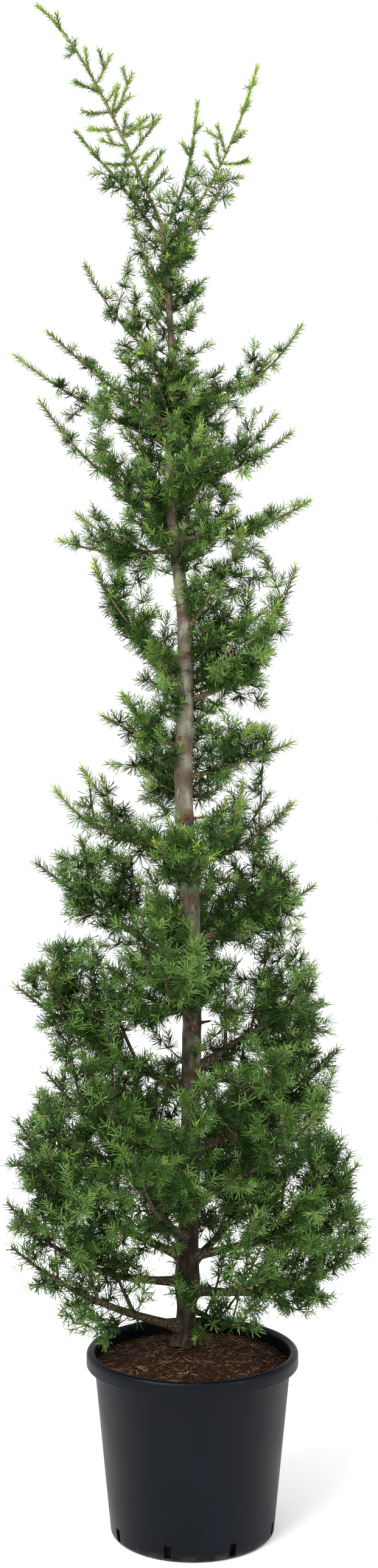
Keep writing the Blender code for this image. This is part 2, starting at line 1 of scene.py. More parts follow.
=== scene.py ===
"""A potted young atlas cedar, dressed as it stands in a tree nursery.

The sections follow the plant as it is put together: container, substrate, trunk,
limbs, stubs, shoots, needles, and then the stage. All is in metres, with +Z up and the
origin in the middle of the pot's underside, as in the solid model. Headings are
degrees anticlockwise from +X, seen from above, and the picture is taken from -Y.
"""

import json
import math
import random
from collections import namedtuple

import bmesh
import bpy
import numpy as np
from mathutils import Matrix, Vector

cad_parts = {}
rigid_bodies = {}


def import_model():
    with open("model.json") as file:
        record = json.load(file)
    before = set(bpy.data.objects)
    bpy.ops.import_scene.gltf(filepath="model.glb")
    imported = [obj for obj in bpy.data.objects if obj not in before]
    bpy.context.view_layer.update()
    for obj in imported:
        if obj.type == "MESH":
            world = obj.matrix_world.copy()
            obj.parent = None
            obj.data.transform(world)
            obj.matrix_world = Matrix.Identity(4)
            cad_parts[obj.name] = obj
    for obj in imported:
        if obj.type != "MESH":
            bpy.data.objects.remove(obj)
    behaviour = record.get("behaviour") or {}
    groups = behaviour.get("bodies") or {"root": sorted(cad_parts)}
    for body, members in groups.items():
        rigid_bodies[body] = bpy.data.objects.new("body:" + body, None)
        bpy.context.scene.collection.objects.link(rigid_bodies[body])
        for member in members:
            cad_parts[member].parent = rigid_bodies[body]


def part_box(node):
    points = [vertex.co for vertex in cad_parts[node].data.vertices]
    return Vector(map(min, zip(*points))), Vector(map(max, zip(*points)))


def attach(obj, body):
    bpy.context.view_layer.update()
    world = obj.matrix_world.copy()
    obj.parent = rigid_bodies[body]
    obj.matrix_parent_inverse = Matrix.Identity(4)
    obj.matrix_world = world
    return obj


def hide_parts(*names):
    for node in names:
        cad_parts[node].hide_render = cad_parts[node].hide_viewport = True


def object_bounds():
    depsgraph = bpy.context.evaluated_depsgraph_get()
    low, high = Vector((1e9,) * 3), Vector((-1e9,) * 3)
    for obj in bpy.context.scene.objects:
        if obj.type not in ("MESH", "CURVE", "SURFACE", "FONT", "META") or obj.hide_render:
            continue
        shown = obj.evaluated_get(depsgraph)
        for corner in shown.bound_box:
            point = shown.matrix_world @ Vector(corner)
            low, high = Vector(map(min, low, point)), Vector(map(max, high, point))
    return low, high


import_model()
SOLID_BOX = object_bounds()

# The container: a round nursery pot of about 35 litres, injection-moulded in
# polypropylene with recycled carbon black. Its rim is rolled for lifting, and eight
# slots round its foot drain it.
POT_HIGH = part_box("pot")[1]
POT_HEIGHT = POT_HIGH.z
RIM_RADIUS = POT_HIGH.x
FOOT_RADIUS = 0.154
POT_FLARE = 0.097
POT_WALL = 0.0025
POT_FLOOR = 0.004
POT_CORNER = 0.009
RIM_INNER_RADIUS = 0.184
RIM_DROP = 0.0275
RIM_FOOT = POT_HEIGHT - RIM_DROP
RIM_ROLL = 0.0085
RIM_LIP = 0.0025
POT_STEPS = 160
SLOT_COUNT = 8
SLOT_HEADING = 28
SLOT_WIDTH = 0.013
SLOT_HEIGHT = 0.024
SLOT_DEPTH = 0.050
SLOT_FOOT = 0.006


def linear(hex_colour):
    """An sRGB hex colour as the linear RGBA that a shader takes."""
    parts = [int(hex_colour[i : i + 2], 16) / 255 for i in (1, 3, 5)]
    return [c / 12.92 if c <= 0.04045 else ((c + 0.055) / 1.055) ** 2.4 for c in parts] + [1.0]


def feed(node, links):
    """Gives inputs of a node a value, a socket, or a node, whose first live output feeds them."""
    for place, value in links.items():
        if isinstance(value, bpy.types.Node):
            value = next(output for output in value.outputs if output.enabled)
        if isinstance(value, bpy.types.NodeSocket):
            node.id_data.links.new(value, node.inputs[place])
        else:
            node.inputs[place].default_value = value


def add(tree, kind, links=None, stops=(), **settings):
    """Adds a node with its settings and links, and the (position, hex colour) stops of a ramp.
    A kind that names no family is a shader node."""
    made = tree.nodes.new(kind if "Node" in kind else f"ShaderNode{kind}")
    for name, value in settings.items():
        setattr(made, name, value)
    while stops and len(made.color_ramp.elements) < len(stops):
        made.color_ramp.elements.new(0.5)
    for number, (position, colour) in enumerate(stops):
        made.color_ramp.elements[number].position = position
        made.color_ramp.elements[number].color = linear(colour)
    feed(made, links or {})
    return made


def new_finish(name, roughness=0.5, **fixed):
    """A material, its nodes and its shader, with the values that the whole surface shares."""
    made = bpy.data.materials.new(name)
    made.use_nodes = True
    shader = made.node_tree.nodes["Principled BSDF"]
    feed(shader, {place.replace("_", " "): value for place, value in fixed.items()})
    feed(shader, {"Roughness": roughness})
    return made, made.node_tree, shader


def moulded_polypropylene():
    """Polypropylene from a spark-textured mould: blue-black, satin, dusty with dried substrate
    round its foot, and rubbed paler along the rim where it is lifted."""
    blacks = ((0.30, "#010408"), (0.55, "#02060D"), (0.78, "#050D17"))
    made, tree, shader = new_finish("moulded_polypropylene", IOR=1.49, Specular_IOR_Level=0.12)
    place = add(tree, "TexCoord").outputs["Object"]
    height = add(tree, "SeparateXYZ", {0: place}).outputs["Z"]
    streaks = add(tree, "Mapping", {0: place, 3: (1.0, 1.0, 9.0)})
    # The clouds are 110 mm across, the dust's patches 24 mm and the scuffs 38 mm. The mould's
    # texture is under a millimetre, and is drawn at 1.6 mm so that it shows.
    cloud, smudge, scuff, grain = (
        add(tree, "TexNoise", {"Vector": spot, "Scale": scale, "Detail": detail})
        for spot, scale, detail in ((place, 9, 5), (place, 42, 8), (streaks, 26, 9), (place, 620, 3))
    )
    low = add(tree, "MapRange", {0: height, 1: 0.002, 2: 0.016, 3: 0.6, 4: 0.0})
    patch = add(tree, "MapRange", {0: smudge, 1: 0.44, 2: 0.70})
    dust = add(tree, "Math", {0: low, 1: patch}, operation="MULTIPLY")
    up = add(tree, "MapRange", {0: height, 1: RIM_FOOT, 2: POT_HEIGHT})
    rubbed = add(tree, "MapRange", {0: scuff, 1: 0.62, 2: 0.86, 4: 0.30})
    wear = add(tree, "Math", {0: up, 1: rubbed}, operation="MULTIPLY")
    colour = add(tree, "ValToRGB", {0: cloud}, stops=blacks)
    for share, over in ((dust, "#5A4C3C"), (wear, "#596069")):
        colour = add(tree, "Mix", {0: share, 6: colour, 7: linear(over)}, data_type="RGBA")
    sheen = add(tree, "MapRange", {0: cloud, 1: 0.3, 2: 0.7, 3: 0.36, 4: 0.50})
    relief = add(tree, "Bump", {"Strength": 0.40, "Distance": 0.0006, "Height": grain})
    feed(shader, {"Base Color": colour, "Roughness": sheen, "Normal": relief})
    return made


def wall_radius(height):
    """Outer radius of the pot's flared wall."""
    return FOOT_RADIUS + POT_FLARE * height


def arc(middle, radius, start, end, count):
    """Points on an arc in the (radius, height) plane, its angles in degrees from outwards."""
    turns = [math.radians(start + (end - start) * i / (count - 1)) for i in range(count)]
    return [(middle[0] + radius * math.cos(a), middle[1] + radius * math.sin(a)) for a in turns]


def turns_round(count):
    """Angles evenly round a circle."""
    return [math.tau * k / count for k in range(count)]


def turned(name, profile, steps):
    """A solid of revolution whose profile starts and ends on the axis, and runs down its outer side."""
    shape = bmesh.new()
    rings = []
    for radius, height in profile:
        if radius == 0:
            rings.append([shape.verts.new((0.0, 0.0, height))] * steps)
            continue
        spots = [(radius * math.cos(a), radius * math.sin(a), height) for a in turns_round(steps)]
        rings.append([shape.verts.new(spot) for spot in spots])
    for upper, lower in zip(rings, rings[1:]):
        for k in range(steps):
            after = (k + 1) % steps
            corners = dict.fromkeys((upper[k], lower[k], lower[after], upper[after]))
            shape.faces.new(list(corners))
    return from_shape(name, shape)


def from_shape(name, shape):
    """An object in the scene, with a mesh made from the shape."""
    mesh = bpy.data.meshes.new(name)
    shape.to_mesh(mesh)
    return placed(name, mesh)


def placed(name, data):
    """An object in the scene, with a mesh, light or camera as its data."""
    made = bpy.data.objects.new(name, data)
    bpy.context.scene.collection.objects.link(made)
    return made


def baked(obj):
    """The object with its modifiers applied, as a plain mesh under the same name."""
    name = obj.name
    graph = bpy.context.evaluated_depsgraph_get()
    mesh = bpy.data.meshes.new_from_object(obj.evaluated_get(graph), depsgraph=graph)
    bpy.data.objects.remove(obj, do_unlink=True)
    return placed(name, mesh)


def shade_round(obj, degrees=35):
    obj.data.shade_smooth()
    obj.data.set_sharp_from_angle(angle=math.radians(degrees))


def dress(obj, finish, slot, *nodes):
    """Gives a finished piece its material and body, and hides the solids that it stands for.
    The record slot is not used.
    """
    obj.data.materials.clear()
    obj.data.materials.append(finish)
    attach(obj, "root")
    if nodes:
        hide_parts(*nodes)


def make_container():
    """The pot, turned from its profile, with its drainage slots cut through the wall."""
    inner_wall = RIM_INNER_RADIUS + RIM_ROLL
    outer_wall = RIM_RADIUS - RIM_ROLL
    roll_height = POT_HEIGHT - RIM_ROLL
    foot = (wall_radius(POT_CORNER) - POT_CORNER, POT_CORNER)
    profile = [(0.0, POT_FLOOR), (foot[0] - POT_WALL, POT_FLOOR)]
    profile += arc((foot[0] - POT_WALL, foot[1] + POT_FLOOR), POT_CORNER, -75, 0, 5)
    profile += [(wall_radius(RIM_FOOT) - POT_WALL, RIM_FOOT)]
    profile += arc((inner_wall, roll_height), RIM_ROLL, 180, 90, 8)
    profile += arc((outer_wall, roll_height), RIM_ROLL, 90, 0, 8)
    profile += arc((RIM_RADIUS - RIM_LIP, RIM_FOOT + RIM_LIP), RIM_LIP, 0, -90, 5)
    profile += arc((wall_radius(RIM_FOOT) + RIM_LIP, RIM_FOOT - RIM_LIP), RIM_LIP, 90, 180, 4)
    profile += arc(foot, POT_CORNER, 0, -90, 7)
    profile += [(0.0, 0.0)]
    pot = turned("container", profile, POT_STEPS)
    cutters = bpy.data.collections.new("slot_cutters")
    for number in range(SLOT_COUNT):
        heading = math.radians(SLOT_HEADING + 360 / SLOT_COUNT * number)
        shape = bmesh.new()
        bmesh.ops.create_cube(shape, size=1.0)
        bmesh.ops.scale(shape, verts=shape.verts, vec=(SLOT_DEPTH, SLOT_WIDTH, SLOT_HEIGHT))
        slot = from_shape("slot", shape)
        height = SLOT_FOOT + SLOT_HEIGHT / 2
        slot.location = (FOOT_RADIUS * math.cos(heading), FOOT_RADIUS * math.sin(heading), height)
        slot.rotation_euler = (0.0, 0.0, heading)
        cutters.objects.link(slot)
    cut = pot.modifiers.new("drainage slots", "BOOLEAN")
    cut.operand_type = "COLLECTION"
    cut.collection = cutters
    bpy.context.scene.collection.children.link(cutters)
    pot = baked(pot)
    for slot in list(cutters.objects):
        bpy.data.objects.remove(slot, do_unlink=True)
    bpy.data.collections.remove(cutters)
    shade_round(pot)
    dress(pot, moulded_polypropylene(), "black_plastic", "pot")


make_container()


# The substrate: peat and composted bark under a mulch of shredded bark fibres, filled
# to a little below the rim and heaped round the trunk. The fibres lie as they fell.
SOIL_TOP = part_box("soil")[1].z
SOIL_EDGE = 0.322
SOIL_FLAT_RADIUS = 0.095
SOIL_ROUGHNESS = 0.0032
SOIL_RINGS = 46
SOIL_STEPS = 150
FIBRE_DENSITY = 33000.0
FIBRE_SIZE = (0.0155, 0.0009, 0.00045)
SEEDLING_PLACES = ((-0.096, -0.075), (-0.012, -0.108), (0.004, -0.155), (0.118, 0.062))
SEEDLING_LEAF = 0.007
SEEDLING_THICKNESS = 0.0006
SEEDLING_RISE = 0.55
SEEDLING_SEED = 11
SOIL_GAP = 0.0006
SOIL_FLOOR_GAP = 0.0004
FIBRE_BOW = -22.0
FIBRE_TURNS = ((-0.35, -0.30, 0.0), (0.35, 0.30, math.tau))
FIBRE_SCALES = ((0.45, 0.6, 0.7), (2.1, 1.7, 1.6))
FIBRE_SEED = 5
UP = Vector((0, 0, 1))


def soil_height(x, y):
    """Height of the substrate's surface: heaped at the middle, and uneven in waves of 65 to 270 mm."""
    radius = math.hypot(x, y)
    share = min(max((radius - SOIL_FLAT_RADIUS) / (wall_radius(SOIL_EDGE) - SOIL_FLAT_RADIUS), 0), 1)
    fall = (SOIL_TOP - SOIL_EDGE) * share * share * (3 - 2 * share)
    uneven = math.sin(41 * x + 17 * y) * math.sin(29 * y - 23 * x) + 0.6 * math.sin(97 * x) * math.sin(83 * y)
    return SOIL_TOP - SOIL_ROUGHNESS - fall + SOIL_ROUGHNESS * 0.6 * uneven


def speckled(name, roughness, shine, noise, relief, *stops):
    """A rough material whose one noise gives both its shades and its relief. The noise is given
    as (spots in a metre, detail), and the relief as (strength, depth in metres)."""
    made, tree, shader = new_finish(name, roughness, Specular_IOR_Level=shine)
    place = add(tree, "TexCoord").outputs["Object"]
    spots = add(tree, "TexNoise", {"Vector": place, "Scale": noise[0], "Detail": noise[1]})
    bump = add(tree, "Bump", {"Strength": relief[0], "Distance": relief[1], "Height": spots})
    colour = add(tree, "ValToRGB", {0: spots}, stops=stops)
    feed(shader, {"Base Color": colour, "Normal": bump})
    return made


def bark_mulch():
    """Shredded bark with peat dust: dark red-brown, matt, its crumbs 5 mm across."""
    browns = ((0.34, "#0E0804"), (0.52, "#22140B"), (0.70, "#382417"))
    return speckled("bark_mulch", 0.95, 0.08, (210, 6), (0.8, 0.003), *browns)


def bark_fibre():
    """Torn bark fibre: each strand its own brown, from wet dark red to dry straw."""
    made, tree, shader = new_finish("bark_fibre", 0.85, Specular_IOR_Level=0.15)
    strand = add(tree, "Attribute", attribute_name="strand").outputs["Fac"]
    browns = ((0.0, "#160C06"), (0.42, "#352114"), (0.74, "#5A3F28"), (1.0, "#8F6F4A"))
    brown = add(tree, "ValToRGB", {0: strand}, stops=browns)
    feed(shader, {"Base Color": brown})
    return made


def grown(obj, tree, values):
    """The object after a node tree has grown on it, as a plain mesh; values are set by input name."""
    modifier = obj.modifiers.new("growth", "NODES")
    modifier.node_group = tree
    for item in tree.interface.items_tree:
        if item.item_type == "SOCKET" and item.in_out == "INPUT" and item.name in values:
            modifier[item.identifier] = values[item.name]
    return baked(obj)


def new_growth(name, **inputs):
    """An empty geometry tree with a geometry input and output, and named inputs by socket type."""
    tree = bpy.data.node_groups.new(name, "GeometryNodeTree")
    tree.interface.new_socket("Geometry", in_out="INPUT", socket_type="NodeSocketGeometry")
    for label, kind in inputs.items():
        tree.interface.new_socket(label, in_out="INPUT", socket_type="NodeSocket" + kind)
    tree.interface.new_socket("Geometry", in_out="OUTPUT", socket_type="NodeSocketGeometry")
    return tree, add(tree, "NodeGroupInput").outputs


def finished(tree, geometry, material):
    """Ends a tree: realises its instances and sets their material."""
    real = add(tree, "GeometryNodeRealizeInstances", {0: geometry})
    clad = add(tree, "GeometryNodeSetMaterial", {"Geometry": real, "Material": material})
    add(tree, "NodeGroupOutput", {0: clad})


def fibre_litter_tree():
    """Strews bent strands over a surface, each turned, tilted and sized at random."""
    tree, given = new_growth("fibre_litter", Density="Float", Size="Vector", Seed="Int", Material="Material")
    seed = given["Seed"]
    cover = {"Mesh": given["Geometry"], "Density": given["Density"], "Seed": seed}
    spots = add(tree, "GeometryNodeDistributePointsOnFaces", cover)
    strand = add(tree, "GeometryNodeMeshCube", {"Size": given["Size"], "Vertices X": 3})
    here = add(tree, "GeometryNodeInputPosition")
    along = add(tree, "SeparateXYZ", {0: here}).outputs["X"]
    square = add(tree, "Math", {0: along, 1: along}, operation="MULTIPLY")
    bent = add(tree, "Math", {0: square, 1: FIBRE_BOW}, operation="MULTIPLY")
    bow = add(tree, "CombineXYZ", {"Z": bent})
    strand = add(tree, "GeometryNodeSetPosition", {"Geometry": strand, "Offset": bow})
    turn, size = (
        add(tree, "FunctionNodeRandomValue", {0: low, 1: high, "Seed": seed}, data_type="FLOAT_VECTOR")
        for low, high in (FIBRE_TURNS, FIBRE_SCALES)
    )
    strewing = {"Points": spots, "Instance": strand, "Rotation": turn, "Scale": size}
    strewn = add(tree, "GeometryNodeInstanceOnPoints", strewing)
    shade = add(tree, "FunctionNodeRandomValue", {"Seed": seed})
    marking = {"Geometry": strewn, "Name": "strand", "Value": shade}
    marked = add(tree, "GeometryNodeStoreNamedAttribute", marking, domain="INSTANCE")
    finished(tree, marked, given["Material"])
    return tree


def make_substrate():
    """The bed, which fills the pot, and the fibres strewn over its surface."""
    edge_radius = wall_radius(SOIL_EDGE) - POT_WALL - SOIL_GAP
    foot_radius = wall_radius(POT_CORNER) - POT_WALL - SOIL_GAP - POT_CORNER
    low = POT_FLOOR + SOIL_FLOOR_GAP
    turns = turns_round(SOIL_STEPS)
    shape = bmesh.new()
    middle = shape.verts.new((0.0, 0.0, soil_height(0.0, 0.0)))
    rings = []
    for ring in range(1, SOIL_RINGS + 1):
        radius = edge_radius * ring / SOIL_RINGS
        spots = [(radius * math.cos(a), radius * math.sin(a)) for a in turns]
        rings.append([shape.verts.new((x, y, soil_height(x, y))) for x, y in spots])
    spots = [(foot_radius * math.cos(a), foot_radius * math.sin(a), low) for a in turns]
    rings.append([shape.verts.new(spot) for spot in spots])
    top = []
    for k in range(SOIL_STEPS):
        after = (k + 1) % SOIL_STEPS
        top.append(shape.faces.new((middle, rings[0][k], rings[0][after])))
        for inner, outer in zip(rings, rings[1:]):
            face = shape.faces.new((inner[k], outer[k], outer[after], inner[after]))
            if outer is not rings[-1]:
                top.append(face)
    shape.faces.new(list(reversed(rings[-1])))
    bed = from_shape("substrate", shape)
    for face in set(shape.faces) - set(top):
        shape.faces.remove(face)
    surface = from_shape("bark_fibres", shape)
    shade_round(bed, 50)
    dress(bed, bark_mulch(), "bark_mulch", "soil")
    fibre = bark_fibre()
    values = {"Density": FIBRE_DENSITY, "Size": FIBRE_SIZE, "Seed": FIBRE_SEED, "Material": fibre}
    dress(grown(surface, fibre_litter_tree(), values), fibre, "bark_mulch")


def towards(turn, rise=0.0):
    """The level direction at an angle from +X, tipped up by a rise."""
    return Vector((math.cos(turn), math.sin(turn), rise))


def make_seedlings():
    """Pairs of tiny seed leaves that have come up through the mulch."""
    draw = random.Random(SEEDLING_SEED)
    shape = bmesh.new()
    for x, y in SEEDLING_PLACES:
        heading = draw.uniform(0, math.tau)
        base = Vector((x, y, soil_height(x, y) + 0.001))
        for side in (0, math.pi):
            out = towards(heading + side, SEEDLING_RISE).normalized()
            across = out.cross(UP).normalized() * SEEDLING_LEAF * 0.3
            end = base + out * SEEDLING_LEAF
            middle = base.lerp(end, 0.55)
            lift = UP * SEEDLING_THICKNESS
            edge = [shape.verts.new(spot) for spot in (base, middle + across, end, middle - across)]
            under = shape.verts.new(middle - lift)
            over = shape.verts.new(middle + lift)
            for here, there in zip(edge, edge[1:] + edge[:1]):
                shape.faces.new((here, there, over))
                shape.faces.new((there, here, under))
    bmesh.ops.recalc_face_normals(shape, faces=shape.faces)
    # A seed leaf is soft, fresh yellow-green and a little glossy.
    leaf = new_finish("seed_leaf", Base_Color=linear("#7E9A3C"))[0]
    dress(from_shape("seedlings", shape), leaf, "cedar_needles")


make_substrate()
make_seedlings()


# The trunk: one stem, 6 cm thick over its roots and tapering to its fork. Its bark is
# still thin and grey-brown, marked by pores, by rings of scars where each year's
# whorl of limbs grew, and by a few pruned stubs. The stations are the solid model's.
Station = namedtuple("Station", "height side depth radius")
TRUNK = (
    Station(0.3353, -0.015, 0.060, 0.0300),
    Station(0.355, -0.014, 0.059, 0.0225),
    Station(0.400, -0.012, 0.058, 0.0185),
    Station(0.455, -0.010, 0.056, 0.0235),
    Station(0.530, -0.008, 0.054, 0.0200),
    Station(0.950, -0.001, 0.045, 0.0182),
    Station(1.200, -0.005, 0.040, 0.0176),
    Station(1.400, -0.017, 0.036, 0.0172),
    Station(1.600, -0.013, 0.032, 0.0158),
    Station(1.730, -0.016, 0.030, 0.0132),
    Station(1.880, -0.035, 0.026, 0.0118),
    Station(1.990, -0.043, 0.024, 0.0090),
    Station(2.200, -0.038, 0.020, 0.0066),
    Station(2.456, -0.057, 0.016, 0.0050),
)
TRUNK_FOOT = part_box("trunk")[0].z
TRUNK_TOP = TRUNK[-1].height
TRUNK_STEP = 0.0045
TRUNK_SIDES = 44
ROOT_LOBES = 5
ROOT_LOBE_DEPTH = 0.20
ROOT_LOBE_HEIGHT = 0.035
WHORLS = (0.455, 0.640, 0.860, 1.050, 1.190, 1.250, 1.345, 1.420, 1.480, 1.568, 1.650, 1.730, 1.870, 1.960)
WHORL_SWELL = 0.07
WHORL_LENGTH = 0.010
BARK_WAVE = 0.018


def trunk_at(height):
    """The trunk's centre and radius at a height, on smooth curves through its stations."""
    last = len(TRUNK) - 1
    lower = 0
    while lower < last - 1 and TRUNK[lower + 1].height < height:
        lower += 1
    ends = TRUNK[lower], TRUNK[lower + 1]
    span = ends[1].height - ends[0].height
    t = min(max((height - ends[0].height) / span, 0.0), 1.0)

    def slope(index, field):
        before = TRUNK[max(index - 1, 0)]
        after = TRUNK[min(index + 1, last)]
        rise = getattr(after, field) - getattr(before, field)
        return rise / (after.height - before.height)

    def read(field):
        start, end = (getattr(station, field) for station in ends)
        start_slope = slope(lower, field) * span
        end_slope = slope(lower + 1, field) * span
        return (
            start * (1 + 2 * t) * (1 - t) ** 2
            + start_slope * t * (1 - t) ** 2
            + end * t * t * (3 - 2 * t)
            - end_slope * t * t * (1 - t)
        )

    return Vector((read("side"), read("depth"), height)), read("radius")


def thin_cedar_bark():
    """Young cedar bark: smooth and grey with a brown cast, fine dark pores drawn out round the
    stem, pale streaks of dead cork, rusty rings at the whorls, and a dark foot that is partly
    damp bark and partly painted shade under the crown."""
    greys = ((0.34, "#3F3829"), (0.50, "#666151"), (0.64, "#8A8677"))
    browns = ((0.34, "#140E08"), (0.50, "#251B11"), (0.68, "#43362A"))
    tans = ((0.36, "#3C3122"), (0.52, "#5E5039"), (0.66, "#7F7054"))
    made, tree, shader = new_finish("thin_cedar_bark", 0.8, Specular_IOR_Level=0.2)
    place = add(tree, "TexCoord").outputs["Object"]
    height = add(tree, "SeparateXYZ", {0: place}).outputs["Z"]
    # The patches are 42 mm across and the cork's streaks 11 mm wide and 35 mm tall. The pores
    # are drawn 7 mm wide and 1.3 mm tall, which is larger than life, so that they show.
    flat = add(tree, "Mapping", {0: place, 3: (1.0, 1.0, 5.0)})
    tall = add(tree, "Mapping", {0: place, 3: (1.0, 1.0, 0.30)})
    pores, cork, patches = (
        add(tree, "TexNoise", {"Vector": spot, "Scale": scale, "Detail": detail})
        for spot, scale, detail in ((flat, 150, 3), (tall, 95, 5), (place, 24, 6))
    )
    near = None
    for whorl in WHORLS:
        away = add(tree, "Math", {0: height, 1: whorl}, operation="SUBTRACT")
        apart = add(tree, "Math", {0: away}, operation="ABSOLUTE")
        near = add(tree, "Math", {0: near, 1: apart}, operation="MINIMUM") if near else apart
    band = add(tree, "MapRange", {0: near, 1: 0.003, 2: 0.022, 3: 1.0, 4: 0.0})
    blotch = add(tree, "MapRange", {0: patches, 1: 0.36, 2: 0.56})
    pale = add(tree, "MapRange", {0: cork, 1: 0.50, 2: 0.70, 4: 0.65})
    dot = add(tree, "MapRange", {0: pores, 1: 0.56, 2: 0.66, 4: 0.6})
    rust = add(tree, "Math", {0: band, 1: blotch}, operation="MULTIPLY")
    # Darker towards the foot, fading out by 1.2 m: partly damp bark, partly painted shade under the crown.
    damp_and_shade = add(tree, "MapRange", {0: height, 1: 0.55, 2: 1.20, 3: 0.95, 4: 0.0})
    young = add(tree, "MapRange", {0: height, 1: 1.75, 2: 2.40, 3: 0.0, 4: 0.85})
    foot = add(tree, "ValToRGB", {0: cork}, stops=browns)
    top = add(tree, "ValToRGB", {0: cork}, stops=tans)
    colour = add(tree, "ValToRGB", {0: patches}, stops=greys)
    spots = ((pale, linear("#A09C90")), (dot, linear("#3E3527")), (rust, linear("#54402E")))
    for share, over in (*spots, (damp_and_shade, foot), (young, top)):
        colour = add(tree, "Mix", {0: share, 6: colour, 7: over}, data_type="RGBA")
    depth = add(tree, "Math", {0: pores, 1: cork}, operation="ADD")
    relief = add(tree, "Bump", {"Strength": 0.55, "Distance": 0.0012, "Height": depth})
    feed(shader, {"Base Color": colour, "Normal": relief})
    return made


def bark_swell(height, turn):
    """How much wider than its taper the trunk is at a height and a direction round it."""
    above = height - TRUNK_FOOT
    lobes = ROOT_LOBE_DEPTH * math.exp(-above / ROOT_LOBE_HEIGHT) * math.cos(ROOT_LOBES * turn + 0.7)
    rings = sum(WHORL_SWELL * math.exp(-(((height - whorl) / WHORL_LENGTH) ** 2)) for whorl in WHORLS)
    knobs = 1.0 + 0.6 * math.sin(3 * turn + 40 * height)
    wave = math.sin(2 * turn + 31 * height) + math.sin(3 * turn - 57 * height)
    wave += math.sin(5 * turn + 140 * height)
    return 1.0 + lobes + rings * knobs + BARK_WAVE * wave


def make_trunk():
    """The trunk as rings of bark, closed at both ends."""
    count = round((TRUNK_TOP - TRUNK_FOOT) / TRUNK_STEP)
    shape = bmesh.new()
    rings = []
    for i in range(count + 1):
        height = TRUNK_FOOT + (TRUNK_TOP - TRUNK_FOOT) * i / count
        centre, radius = trunk_at(height)
        turns = turns_round(TRUNK_SIDES)
        spots = [centre + towards(turn) * radius * bark_swell(height, turn) for turn in turns]
        rings.append([shape.verts.new(spot) for spot in spots])
    for lower, upper in zip(rings, rings[1:]):
        for k in range(TRUNK_SIDES):
            after = (k + 1) % TRUNK_SIDES
            shape.faces.new((lower[k], lower[after], upper[after], upper[k]))
    shape.faces.new(list(reversed(rings[0])))
    shape.faces.new(rings[-1])
    trunk = from_shape("trunk_bark", shape)
    shade_round(trunk, 60)
    dress(trunk, thin_cedar_bark(), "cedar_bark", "trunk")


make_trunk()


